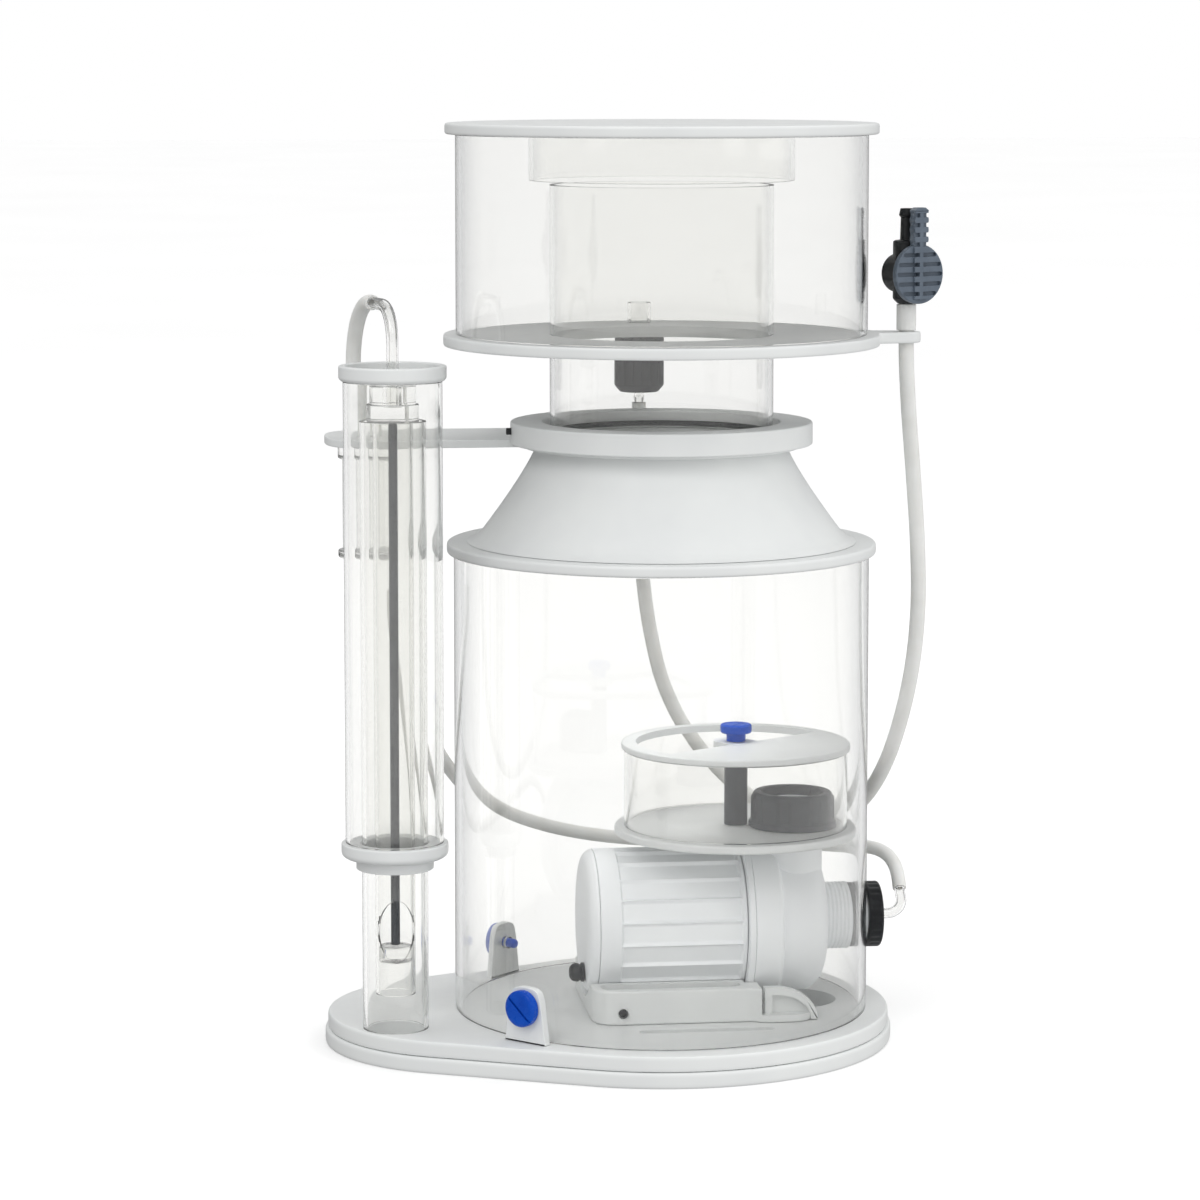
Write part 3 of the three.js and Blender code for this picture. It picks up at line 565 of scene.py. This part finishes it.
stands_for(
    reshaped(
        slab("base_lower_fine", oval(), 0, 11, 3.2),
        slab("duct_tool", capsule(TOWER, (100, 3), 20), 5, 14, 0.3),
    ),
    "base_plate_lower",
)
stands_for(
    reshaped(
        slab("base_upper_fine", oval(2), 11.3, 22.4, 3.2),
        slab("slot_tool", capsule((-22.5, -88), (65, -88), 4.5), 15, 30, 0.01),
        solid_of("outlet_tool", 31, 0, 30, 0, at=(100, 3, 0)),
        solid_of("riser_tool", 20.5, 0, 30, 0, at=(*TOWER, 0)),
    ),
    "base_plate_upper",
)


# ---- reaction tube, flange, cone and collar ----

SCREW_HEIGHT = 47.7
BODY_RINGS = (41, 44, 47.7, 51, 54, 63, 70, 77, 84.5, 92, 99, 106)


def radial(angle):
    """The unit direction away from the body's axis at an angle in degrees."""
    return (math.cos(math.radians(angle)), math.sin(math.radians(angle)), 0)


stands_for(
    reshaped(
        tube_of("body_tube_fine", 150, 145, 22.7, 354.7, facets=256, rings=BODY_RINGS),
        solid_of("inlet_tool", 20, 100, 200, 0, at=(0, 0, 84.5), axis=(1, 0, 0)),
        solid_of("front_tool", 4.5, 100, 200, 0, 32, at=(0, 0, SCREW_HEIGHT), axis=radial(225)),
        solid_of("rear_tool", 4.5, 100, 200, 0, 32, at=(0, 0, SCREW_HEIGHT), axis=radial(135)),
    ),
    "body_tube",
)
stands_for(tube_of("body_flange_fine", 155, 131, 355, 363, 2.4, 224), "body_flange")

flare = np.linspace(0, 1, 18)[1:-1]
cone_out = [(91 + 43 * d**1.18, 431.2 - 65.9 * d, 0) for d in flare]
cone_in = [(86 + 43 * d**1.18, 430.5 - 65.9 * d, 0) for d in flare]
stands_for(
    turned(
        "cone_fine",
        [(129, 363.3, 0.5), (141, 363.3, 1), (136, 365.3, 4)]
        + cone_out[::-1]
        + [(91, 431.2, 0.8), (86, 431.2, 0.8)]
        + cone_in,
        224,
        loop=True,
    ),
    "cone",
)


def arm_outline(grow=0.0):
    """The arm's strip towards the tower with its rounded free end."""
    return softened(
        [
            (-40, 96 + grow, 1),
            (-222, 96 + grow, 24),
            (-240 - grow, 74, 26),
            (-240 - grow, 26, 26),
            (-222, 4 - grow, 24),
            (-40, 4 - grow, 1),
        ],
        12,
    )


def arm_with_eye():
    """The arm's outline: an arc of 100 about the throat, whose ends the strip joins."""
    strip = arm_outline()
    round_the_throat = arc((0, 0), 100, 180 - math.degrees(math.asin(0.04)), 466.26, 120)
    return np.concatenate([round_the_throat, strip[strip[:, 0] < -101]])


stands_for(
    reshaped(
        slab("arm_fine", arm_with_eye(), 431.5, 437.2, 1.2),
        solid_of("throat_tool", 85.5, 400, 470, 0, 192),
        solid_of("nipple_tool", 5.5, 400, 470, 0, 40, at=(*BRIDGE_LEG, 0)),
    ),
    "bracket_arm",
)
stands_for(
    reshaped(
        turned(
            "collar_fine",
            [
                (85.5, 437.5, 0.4),
                (100.3, 437.5, 0.4),
                (100.3, 434, 0.4),
                (109, 434, 1.2),
                (109, 450, 1.6),
                (85.5, 450, 1.4),
            ],
            224,
            loop=True,
        ),
        slab("strip_tool", arm_outline(0.3), 420, 437.5, 0.1),
        solid_of("screw_tool", 3, -118, -103, 0, 24, at=(0, 0, 443.5), axis=(1, 0, 0)),
    ),
    "neck_collar",
)
stands_for(tube_of("neck_seal_fine", 85.2, 81, 439, 443, 1.6, 192), "neck_seal")
stands_for(
    turned(
        "collar_screw_fine",
        [(0, -103.5, 0), (2.5, -103.5, 0.4), (2.5, -112.5, 0.6), (1.3, -112.5, 0.1), (1.1, -110, 0), (0, -110, 0)],
        32,
        at=(0, 0, 443.5),
        axis=(1, 0, 0),
    ),
    "collar_screw",
)


# ---- air silencer ----

silencer_at = (*SILENCER, 0)
stands_for(
    reshaped(
        solid_of("silencer_top_fine", 22.7, 421.2, 431.2, 1.2, at=silencer_at),
        solid_of("nipple_tool", 5, 426, 437.2, 0.5, 40, at=(*BRIDGE_LEG, 0)),
        operation="UNION",
    ),
    "silencer_top_cap",
)
stands_for(tube_of("silencer_tube_fine", 19.5, 17.5, 354.8, 420.9, 0.3, 96, at=silencer_at), "silencer_tube")
stands_for(
    reshaped(
        solid_of("silencer_bottom_fine", 22.7, 349, 354.5, 1.2, at=silencer_at),
        solid_of("spout_tool", 3, 325, 352, 0.4, 32, at=(SILENCER[0] + 10, SILENCER[1], 0)),
        operation="UNION",
    ),
    "silencer_bottom_cap",
)


# ---- outlet tower and its bridge ----

tower_at = (*TOWER, 0)
stands_for(tube_of("outlet_pipe_fine", 23.5, 20.5, 22.7, 457, 0.5, 96, at=tower_at), "outlet_pipe")
port = np.stack([11.5 * np.cos(np.radians(np.arange(0, 360, 6))), 22.5 * np.sin(np.radians(np.arange(0, 360, 6)))], axis=1)
stands_for(
    reshaped(
        tube_of("inner_tube_fine", 14.3, 12.3, 48, 455.7, 0.4, 72, tuple(range(70, 121, 4)), at=tower_at),
        slab("port_tool", port, 0, 30, 0.01, at=(*TOWER, 94.5), axis=(0, -1, 0), side=(1, 0, 0)),
    ),
    "inner_tube",
)
stands_for(
    turned(
        "inner_cap_fine",
        [
            (0, 456, 0),
            (18.5, 456, 0.8),
            (18.5, 469, 0.8),
            (16.5, 469, 0.4),
            (16.5, 482, 1.2),
            (4.8, 482, 0.4),
            (4.8, 467, 0.2),
            (0, 467, 0),
        ],
        96,
        at=tower_at,
    ),
    "inner_tube_cap",
)
stands_for(solid_of("valve_rod_fine", 3.2, 83, 455, 0.5, 40, at=tower_at), "valve_rod")
stands_for(
    turned(
        "rod_ring_fine",
        [(0, 71, 0), (11.7, 71, 1.6), (11.7, 82.7, 1.6), (0, 82.7, 0)],
        72,
        at=tower_at,
    ),
    "valve_rod_ring",
)
stands_for(tube_of("level_sleeve_fine", 35, 32.2, 157.3, 484.7, 0.5, 128, at=tower_at), "level_sleeve")
stands_for(
    turned(
        "sleeve_top_fine",
        [(33, 485, 0.6), (36, 485, 0.8), (38, 487, 1.2), (38, 496, 1.6), (33, 496, 1.2)],
        128,
        loop=True,
        at=tower_at,
    ),
    "sleeve_top_ring",
)
stands_for(
    turned(
        "sleeve_bottom_fine",
        [
            (24.2, 138, 0.4),
            (27.5, 138, 1),
            (27.5, 145.5, 1),
            (34, 146, 2),
            (38, 148.5, 2.5),
            (38, 157, 1.2),
            (24.2, 157, 0.6),
        ],
        128,
        loop=True,
        at=tower_at,
    ),
    "sleeve_bottom_ring",
)
stands_for(pipe("bridge_tube_fine", through(rigid_path, 110), 4.3, 2.8, 48), "bridge_tube")


# ---- screw brackets ----


def screw_station(name, angle):
    """A bracket plate against the reaction tube, with the slotted screw that holds the tube."""
    out = np.array(radial(angle))
    face = softened(
        [(-18, 22.7, 0.2), (18, 22.7, 0.2), (13.5, 56, 9), (9, 62.2, 8), (-9, 62.2, 8), (-13.5, 56, 9)], 10
    )
    plate = slab(f"bracket_{name}_fine", face, 152, 158, 0.9, at=(0, 0, 0), axis=out, side=(-out[1], out[0], 0))
    hole = solid_of("hole_tool", 4.5, 140, 170, 0, 32, at=(0, 0, SCREW_HEIGHT), axis=out)
    stands_for(reshaped(plate, hole), f"screw_bracket_{name}")
    screw = turned(
        f"thumb_screw_{name}_fine",
        [
            (0, 138, 0),
            (2.6, 138, 0.3),
            (3.5, 139.5, 0.4),
            (3.5, 158.3, 0.3),
            (12.2, 158.3, 0.5),
            (13, 159.2, 0.5),
            (13, 164.2, 1.2),
            (10.5, 165.5, 1.5),
            (0, 165.5, 0),
        ],
        72,
        at=(0, 0, SCREW_HEIGHT),
        axis=out,
    )
    lean = np.cos(np.radians(40)) * np.array([-out[1], out[0], 0]) + np.sin(np.radians(40)) * np.array([0, 0, -1.0])
    slot = slab(
        "slot_tool",
        [(-16, -0.9), (16, -0.9), (16, 0.9), (-16, 0.9)],
        163.6,
        170,
        0.01,
        at=(0, 0, SCREW_HEIGHT),
        axis=out,
        side=lean,
    )
    stands_for(reshaped(screw, slot), f"thumb_screw_{name}")


screw_station("front", 225)
screw_station("rear", 135)


# ---- pump ----

PUMP_AXIS = {"at": (0, 0, 84.5), "axis": (1, 0, 0)}


def rib(turn, count, sharpness):
    """Narrow ridges, evenly round: ((1 + cos(count x turn)) / 2) ^ sharpness."""
    return ((1 + np.cos(count * turn)) / 2) ** sharpness


def between(value, low, high, soft):
    """1 between low and high and 0 outside, over a smooth step of the given width."""
    rise = np.clip((value - low) / soft, 0, 1)
    fall = np.clip((high - value) / soft, 0, 1)
    return rise * rise * (3 - 2 * rise) * fall * fall * (3 - 2 * fall)


def ribbed_casing(radius, turn, height):
    """The casing's outside sinks by 2.6 between its bands, where thin ribs keep the full radius."""
    sunk = between(height, -35, 53.5, 1.6) * (radius > 49)
    return radius - 2.6 * sunk * (1 - rib(turn - math.radians(9), 20, 26))


casing = [(46, -50, 0.2), (53, -50, 1)]
casing += [(53, x, 0) for x in np.linspace(-38, -32, 9)]
casing += [(53, x, 0) for x in np.linspace(50, 55, 9)]
casing += [(53, 56, 0.6), (46, 56, 0.2)]
stands_for(
    turned("motor_casing_fine", casing, 720, loop=True, shape=ribbed_casing, **PUMP_AXIS), "motor_housing"
)
stands_for(
    turned(
        "motor_cap_fine",
        [
            (0, -58.5, 0),
            (40, -58.5, 3),
            (48.5, -57, 4),
            (52.5, -52, 2.5),
            (52.5, -50.3, 0.4),
            (10.4, -50.3, 0.3),
            (10.4, -56, 0.3),
            (0, -56, 0),
        ],
        128,
        **PUMP_AXIS,
    ),
    "motor_rear_cap",
)
stands_for(
    turned(
        "cable_gland_fine",
        [
            (0, -69.5, 0),
            (3.4, -69.5, 1.4),
            (6.2, -67.5, 1.6),
            (7, -63.5, 1.6),
            (5.6, -61.5, 0.5),
            (7, -60.8, 0.6),
            (7, -58.8, 0.3),
            (0, -58.8, 0),
        ],
        48,
        at=(0, -20, 51.5),
        axis=(1, 0, 0),
    ),
    "cable_gland",
)
stands_for(
    turned(
        "back_plate_fine",
        [(10.4, 56.6, 0.2), (60.5, 56.6, 1), (60.5, 61, 0.8), (10.4, 61, 0.2)],
        160,
        loop=True,
        **PUMP_AXIS,
    ),
    "volute_back_plate",
)
OUTLET = (94.5, -16)
volute = turned(
    "volute_fine",
    [
        (0, 61.3, 0),
        (59.3, 61.3, 0.8),
        (59.3, 80.5, 1.6),
        (54, 82.5, 1.5),
        (54, 100, 8),
        (51, 111, 8),
        (42, 117, 7),
        (0, 117, 0),
    ],
    160,
    **PUMP_AXIS,
)
spout = solid_of("spout_tool", 21.5, 90, 174, 1, 96, at=(*OUTLET, 0))
volute = reshaped(volute, spout, operation="UNION")
stands_for(
    reshaped(
        volute,
        solid_of("cavity_tool", 48, 60, 110, 1, 96, **PUMP_AXIS),
        solid_of("eye_tool", 17, 100, 125, 0, 64, **PUMP_AXIS),
        solid_of("bore_tool", 18, 97, 190, 0, 64, at=(*OUTLET, 0)),
    ),
    "volute_housing",
)


def threaded(radius, turn, height):
    """A rounded thread of 3 mm pitch: the radius waves by 0.55 as height / pitch + turn / 2 pi."""
    wave = np.cos(2 * np.pi * (height / 3.0 + turn / (2 * np.pi)))
    return radius - 0.55 * (1 - wave) / 2 * between(height, 118.5, 138, 1.5) * (radius > 24)


nozzle = [(16, 117.3, 0.2), (24.5, 117.3, 0.3)]
nozzle += [(24.5, x, 0) for x in np.linspace(118, 138.6, 72)]
nozzle += [(24.5, 139, 0.2), (18.5, 139, 0.3), (18.5, 157, 0.8), (16, 157, 0.8)]
stands_for(turned("nozzle_fine", nozzle, 96, loop=True, shape=threaded, **PUMP_AXIS), "inlet_nozzle")
seal = tube_of("inlet_seal_fine", 23.5, 19.2, 139.3, 150, 0.8, 96, **PUMP_AXIS)
inside = solid_of("wall_tool", 144.2, 40, 130, 0, 224)
stands_for(reshaped(seal, inside, operation="INTERSECT"), "inlet_seal")


def gripped(radius, turn, height):
    """The nut's rim is scalloped: it sinks by 0.7 between 24 grips."""
    return radius - 0.7 * (1 - rib(turn, 24, 0.8)) * (radius > 22) * between(height, 152, 160.5, 1.5)


nut = [(19.2, 150.6, 0.3), (24, 150.6, 0.8)]
nut += [(24, x, 0) for x in np.linspace(152, 160, 12)]
nut += [(23.4, 161.3, 0.8), (21.5, 162, 1), (14.5, 162, 0.6), (14.5, 159.7, 0.3), (19.2, 159.7, 0.3)]
stands_for(turned("inlet_nut_fine", nut, 192, loop=True, shape=gripped, **PUMP_AXIS), "inlet_nut")

away = np.array([0, 0.64, 0.768])
bend_turn = np.radians(np.linspace(0, 90, 14))[:, None]
elbow_bend = (
    np.array([180.0, 0, 84.5])
    + 12 * (-1 + np.sin(bend_turn)) * np.array([1.0, 0, 0])
    + 12 * (1 - np.cos(bend_turn)) * away
)
elbow_path = np.concatenate(
    [
        [[158.5, 0, 84.5], [163, 0, 84.5]],
        elbow_bend,
        [np.array([180.0, 0, 84.5]) + away * 16, np.array([180.0, 0, 84.5]) + away * 20],
    ]
)
elbow = reshaped(
    solid_of("elbow_fine", 17.5, 157.3, 159.4, 0.4, 96, **PUMP_AXIS),
    *[
        solid_of(
            f"window_tool_{k}", 5, 150, 165, 0, 32, at=(0, 7.64 * a, 84.5 + 7.64 * b), axis=(1, 0, 0)
        )
        for k, (a, b) in enumerate([(1, 1), (-1, 1), (-1, -1), (1, -1)])
    ],
)
elbow = reshaped(elbow, pipe("elbow_tool", through(elbow_path, 90), 3.8, 2.4, 48), operation="UNION")
stands_for(elbow, "air_elbow")



def foot_outline(inset=0.0):
    """The cradle's outline in plan, its pump end wider at the front, drawn in by the inset."""
    low, high = -57 + inset, 104 - inset
    near, wide, far = -68 + inset, -73 + inset, 68 - inset
    corners = [(low, near, 20), (58, near, 6), (64, wide, 8), (high, wide, 30), (high, far, 34), (low, far, 20)]
    return softened(corners, 14)


def block(name, x, y, z):
    """A cutter with square sides between the pairs of x, y and z."""
    corners = [(x[0], y[0]), (x[1], y[0]), (x[1], y[1]), (x[0], y[1])]
    return slab(name, corners, z[0], z[1], 0.01)




def arch(inset):
    """The outline, in X and Z, of the arched side at the cradle's pump end, drawn in by the inset."""
    turn = np.radians(np.linspace(0, 90, 24))
    curve = np.stack([74 + (30 - inset) * np.cos(turn), 24 + (22.5 - inset) * np.sin(turn)], axis=1)
    return np.concatenate([[(66 + inset, 23), (104 - inset, 23)], curve, [(66 + inset, 46.5 - inset)]])


def arched_side(name, face):
    """An upright web with a rim along its arch, standing between 58 and 67 from the pump's middle."""
    across = {"axis": (0, face, 0), "side": (-face, 0, 0)}
    outline, pocket = (arch(inset) * (-face, 1) for inset in (0, 5))
    if face > 0:
        outline, pocket = outline[::-1], pocket[::-1]
    web = slab(name, outline, 58, 67, 1, **across)
    return reshaped(web, slab("pocket_tool", pocket, 62, 80, 0.01, **across))


foot = reshaped(
    slab("pump_foot_fine", foot_outline(), 22.7, 47, 2.2),
    block("low_tool", (63, 130), (-90, 90), (28, 70)),
)
stands_for(
    reshaped(
        reshaped(foot, arched_side("near_arch", -1), arched_side("far_arch", 1), operation="UNION"),
        solid_of("motor_tool", 54, -70, 58, 0, 128, **PUMP_AXIS),
        solid_of("flange_tool", 61.3, 54, 120, 0, 128, **PUMP_AXIS),
        slab("water_tool", softened([(55, -46, 8), (97, -46, 8), (97, 46, 8), (55, 46, 8)]), 10, 60, 0.01),
        slab("front_tool", softened([(-50, -60, 6), (50, -60, 6), (50, -44, 6), (-50, -44, 6)]), 30, 70, 0.01),
        slab("rear_tool", softened([(-50, 44, 6), (50, 44, 6), (50, 60, 6), (-50, 60, 6)]), 30, 70, 0.01),
        solid_of("screw_tool", 3.6, 50, 75, 0, 32, at=(-36, 0, 31), axis=(0, -1, 0)),
    ),
    "pump_foot",
)
stands_for(
    turned(
        "foot_screw_fine",
        [(0, 61, 0), (3, 61, 0.3), (3, 70.5, 0.9), (1.5, 70.5, 0.2), (1.2, 68.5, 0), (0, 68.5, 0)],
        32,
        at=(-36, 0, 31),
        axis=(0, -1, 0),
    ),
    "foot_screw",
)


# ---- bubble-plate chamber ----

CHAMBER = (54.5, -5, 0)
stands_for(
    reshaped(
        solid_of("chamber_floor_fine", 88.5, 149, 155, 2, 192, at=CHAMBER),
        solid_of("spout_tool", 21.9, 100, 200, 0, 96, at=(*OUTLET, 0)),
    ),
    "chamber_floor",
)
stands_for(tube_of("chamber_wall_fine", 81.5, 79, 155.3, 210.7, 0.4, 192, at=CHAMBER), "chamber_wall")


def opening():
    """The cover's D-shaped opening: a circle of 73 cut by a chord, less a round-ended tongue past its centre."""
    reach = math.degrees(math.acos(-9 / 73))
    rim = arc((0, 0), 73, -reach, reach, 90)
    tongue = np.concatenate([[(-9, 13)], arc((5, 0), 13, 90, -90, 40), [(-9, -13)]])
    turn = math.radians(124)
    flat = np.concatenate([rim, tongue])
    return flat @ np.array([[math.cos(turn), math.sin(turn)], [-math.sin(turn), math.cos(turn)]])


stands_for(
    reshaped(
        solid_of("chamber_cover_fine", 83.5, 211, 216, 1.6, 192, at=CHAMBER),
        slab("opening_tool", opening(), 200, 230, 0.01, at=CHAMBER),
        solid_of("screw_tool", 3.6, 200, 230, 0, 32, at=CHAMBER),
    ),
    "chamber_top",
)
stands_for(
    turned(
        "chamber_post_fine",
        [(0, 155.3, 0), (8.5, 155.3, 0.4), (8.5, 210.7, 0.6), (3.6, 210.7, 0.3), (3.6, 190, 0), (0, 190, 0)],
        64,
        at=CHAMBER,
    ),
    "chamber_post",
)
stands_for(
    turned(
        "chamber_screw_fine",
        [
            (0, 194, 0),
            (3, 194, 0.4),
            (3, 216.3, 0.1),
            (7, 216.3, 0.5),
            (7, 222, 0.6),
            (10.8, 222.3, 0.8),
            (11.5, 223.5, 0.8),
            (11.5, 228, 1.2),
            (10, 229, 1.2),
            (0, 229, 0),
        ],
        72,
        at=CHAMBER,
    ),
    "chamber_screw",
)


def lobed(radius, turn, height):
    """The union nut's grip: eight broad pads proud of the waist by 1.4, above the round flange."""
    pads = 1 / (1 + np.exp(-14 * (np.cos(8 * turn) + 0.45)))
    return radius - 1.4 * (1 - pads) * between(height, 160.3, 177.5, 1.2) * (radius > 29)


union = [(22.3, 155.3, 0.2), (32, 155.3, 0.6), (32, 159.2, 1.2), (30.4, 160, 0.4)]
union += [(30.4, z, 0) for z in np.linspace(160.5, 176.5, 16)]
union += [(28.6, 179.6, 1), (27.6, 180.8, 0.8), (22.6, 180.8, 0.8), (22.3, 178.8, 0.4)]
stands_for(turned("union_nut_fine", union, 256, loop=True, shape=lobed, at=(*OUTLET, 0)), "union_nut")


# ---- collector cup ----

VALVE = np.array([179.0, 0.0])
cup_outline = softened(
    [(x, y, 0) for x, y in arc((0, 0), 157, 7.5, 352.5, 200)]
    + [(156, -14, 6)]
    + [(x, y, 0) for x, y in arc(VALVE, 10.5, -84, 84, 30)]
    + [(156, 14, 6)],
    6,
)
stands_for(
    reshaped(
        slab("cup_floor_fine", cup_outline, 505, 513, 2.4),
        solid_of("neck_tool", 80.8, 480, 530, 0, 192),
        solid_of("drain_tool", 9.5, 480, 530, 0, 48, at=(0, 127, 0)),
        solid_of("hose_tool", 6.1, 480, 530, 0, 40, at=(*VALVE, 0)),
    ),
    "cup_floor",
)
stands_for(tube_of("cup_wall_fine", 148, 144, 513.3, 655.7, 0.5, 224), "cup_wall")
stands_for(tube_of("neck_tube_fine", 80.5, 77.5, 425, 620, 0.6, 192), "neck_tube")
stands_for(
    turned(
        "drain_tube_fine",
        [
            (2.2, 453, 0.2),
            (3.2, 453, 0.4),
            (4.2, 457, 0.3),
            (3.6, 457.5, 0.2),
            (3.8, 480, 0.4),
            (9.2, 480, 0.5),
            (9.2, 528, 0.5),
            (6.7, 528, 0.5),
            (6.7, 483, 0.4),
            (2.2, 483, 0.3),
        ],
        64,
        loop=True,
        at=(0, 127, 0),
    ),
    "drain_tube",
)


def fluted(radius, turn, height):
    """The drain nut's grip: 16 pads proud of narrow flutes 0.8 deep, above the chamfered foot."""
    flutes = rib(turn, 16, 6)
    return radius - 0.8 * flutes * (radius > 17) * between(height, 466, 503, 2)


nut = [(4.6, 461, 0.3), (15, 461, 1), (19.4, 466, 1.2)]
nut += [(19.4, z, 0) for z in np.linspace(467.5, 503, 24)]
nut += [(19.4, 504.7, 0.6), (9.7, 504.7, 0.3), (9.7, 479.3, 0.3), (4.6, 479.3, 0.3)]
stands_for(turned("drain_nut_fine", nut, 192, loop=True, shape=fluted, at=(0, 127, 0)), "drain_nut")


# ---- stopcock ----

COCK_HEIGHT = 555
COCK_TURN = math.radians(-63.2)
cock_axis = np.array([math.cos(COCK_TURN), math.sin(COCK_TURN), 0])
cock_side = np.array([-cock_axis[1], cock_axis[0], 0])
cock_at = (*VALVE, COCK_HEIGHT)
trunk = turned(
    "valve_body_fine",
    [
        (0, -21.7, 0),
        (6.6, -21.7, 0.6),
        (10, -18.2, 1.2),
        (10, 23.2, 1),
        (8.4, 24, 0.6),
        (5, 24.4, 0.6),
        (4.6, 40.5, 0.3),
        (5.9, 42, 0.5),
        (4.9, 47, 0.6),
        (3, 47, 0.3),
        (3, 30, 0.2),
        (0, 30, 0),
    ],
    72,
    at=cock_at,
)
boss = solid_of("boss_tool", 14, -12.5, 10.2, 1.6, 72, at=cock_at, axis=cock_axis)
trunk = reshaped(trunk, boss, operation="UNION")
socket = solid_of("socket_tool", 5.5, 4, 13, 0, 40, at=cock_at, axis=cock_axis)
stands_for(reshaped(trunk, socket), "valve_body")

dial = solid_of("valve_handle_fine", 21.5, 10.6, 15.5, 1.2, 96, at=cock_at, axis=cock_axis)
climb = np.linspace(18, 46, 60)
wave = 6.4 - 0.7 * (1 - np.cos(2 * np.pi * (climb - 18) / 7)) / 2
right_edge = np.stack([wave, climb], axis=1)
left_edge = np.stack([-wave, climb], axis=1)[::-1]
# The lever's two sides are scalloped every 7 along its length, and its end is rounded.
lever_outline = np.concatenate([[(-6, -18), (6, -18)], right_edge, [(3.4, 48), (-3.4, 48)], left_edge])
lever = slab("lever_tool", lever_outline, 10.8, 17.5, 0.9, at=cock_at, axis=cock_axis, side=cock_side)
stem = solid_of("stem_tool", 5, 4.4, 12, 0.3, 40, at=cock_at, axis=cock_axis)
handle = reshaped(dial, lever, stem, operation="UNION")
grooves = []
for k, height in enumerate((-14, -7, 0, 7, 14, 21.5, 28.5, 35.5, 42.5)):
    half = math.sqrt(20.4**2 - height**2) if height < 20 else 9
    cutter = capsule((-half + 1.4, height), (half - 1.4, height), 1.5)
    low = 13.2 if height < 20 else 15.2
    grooves.append(slab(f"groove_tool_{k}", cutter, low, 20, 0.01, at=cock_at, axis=cock_axis, side=cock_side))
spine = slab("spine_tool", capsule((0, -17), (0, 44), 1.6), 13, 17.4, 0.5, at=cock_at, axis=cock_axis, side=cock_side)
handle = reshaped(handle, *grooves)
handle = reshaped(handle, spine, operation="UNION")
stands_for(handle, "valve_handle")


sleeve = tube_of("hose_end_sleeve", 7.1, 5.7, 514, 532.8, 0.6, 64, at=(*VALVE, 0))
sleeve.data.materials.append(FINISH["silicone_hose"])
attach(sleeve, "cup")


# ---- lid ----

stands_for(solid_of("lid_fine", 155.5, 656, 664, 2.2, 224), "lid_plate")
stands_for(tube_of("lid_skirt_fine", 95.5, 92.5, 623, 655.7, 0.5, 192), "lid_skirt")


# ---- studio ----

world = bpy.data.worlds.new("studio")
bpy.context.scene.world = world
world.use_nodes = True
studio = world.node_tree
studio.nodes.clear()
world.cycles.sampling_method = "NONE"
ray = add(studio, "ShaderNodeLightPath").outputs
toward = add(studio, "ShaderNodeTexCoord").outputs["Generated"]
aim = add(
    studio, "ShaderNodeVectorMath", {0: toward, 1: (0.5, -0.3, 0.81)}, operation="DOT_PRODUCT"
).outputs["Value"]
# The room: brightest above and to the right, dim below and on the left, and dimmer in reflections.
lit = add(
    studio, "ShaderNodeMapRange", {"Value": aim, "From Min": -1.0, "From Max": 1.0, "To Min": 0.3, "To Max": 1.25}
).outputs["Result"]
bounced = add(studio, "ShaderNodeMath", {0: ray["Diffuse Depth"], 1: 0.5}, operation="GREATER_THAN")
# A ray that has been reflected, even inside a clear wall, sees the dim side of the room.
mirrored = add(studio, "ShaderNodeMath", {0: ray["Glossy Depth"], 1: 0.5}, operation="GREATER_THAN")
sight = add(studio, "ShaderNodeMix", {"Factor": mirrored.outputs[0], "A": 1.0, "B": 0.3}).outputs[0]
level = add(studio, "ShaderNodeMix", {"Factor": bounced.outputs[0], "A": sight, "B": lit}).outputs[0]
sky = add(studio, "ShaderNodeBackground", {"Color": linear("#FFFFFF"), "Strength": level})
add(studio, "ShaderNodeOutputWorld", {"Surface": sky.outputs["Background"]})


# Matt white studio paper on a table lit faintly from below, so that it shows white to its edge.
paper = plastic(
    "white_studio_paper",
    "#F3F3F3",
    "#F6F6F6",
    (0.9, 0.9),
    5,
    0.0,
    900,
    shader={"Emission Color": linear("#FFFFFF"), "Emission Strength": 0.12},
)
floor_points = [(-30000, -30000, 0), (30000, -30000, 0), (30000, 30000, 0), (-30000, 30000, 0)]
floor = mesh_piece("studio_floor", np.array(floor_points) - (0, 0, 0.05), [[0, 1, 2, 3]])
floor.data.materials.append(paper)
floor.visible_glossy = False
floor.visible_diffuse = False


def softbox(name, place, aim, width, height, power):
    """A large soft lamp that the camera doesn't see."""
    lamp = bpy.data.lights.new(name, "AREA")
    lamp.shape = "RECTANGLE"
    lamp.size, lamp.size_y, lamp.energy = width, height, power
    lamp_object = bpy.data.objects.new(name, lamp)
    bpy.context.scene.collection.objects.link(lamp_object)
    lamp_object.location = place
    lamp_object.rotation_mode = "QUATERNION"
    lamp_object.rotation_quaternion = (Vector(aim) - Vector(place)).to_track_quat("-Z", "Y")
    lamp_object.visible_camera = False
    return lamp_object


softbox("key_softbox", (-1.8, -2.2, 2.6), (0, 0, 0.35), 1.4, 1.8, 20)
softbox("fill_softbox", (2.4, -1.6, 1.4), (0, 0, 0.3), 1.2, 1.8, 4)
softbox("back_softbox", (0.6, 2.4, 2.6), (0, 0, 0.4), 2.2, 1.2, 8)
# A small lamp under the cone lights the chamber's plates from above, as the room does through the wall.
inner_lamp = softbox("inner_lamp", (0, 0, 0.34), (0, 0.001, 0), 0.15, 0.15, 0.22)
inner_lamp.visible_transmission = False
inner_lamp.visible_glossy = False

scene = bpy.context.scene
scene.view_settings.view_transform = "Standard"
scene.cycles.max_bounces = 24
scene.cycles.transmission_bounces = 24
scene.cycles.transparent_max_bounces = 24
scene.cycles.glossy_bounces = 8
scene.cycles.diffuse_bounces = 5
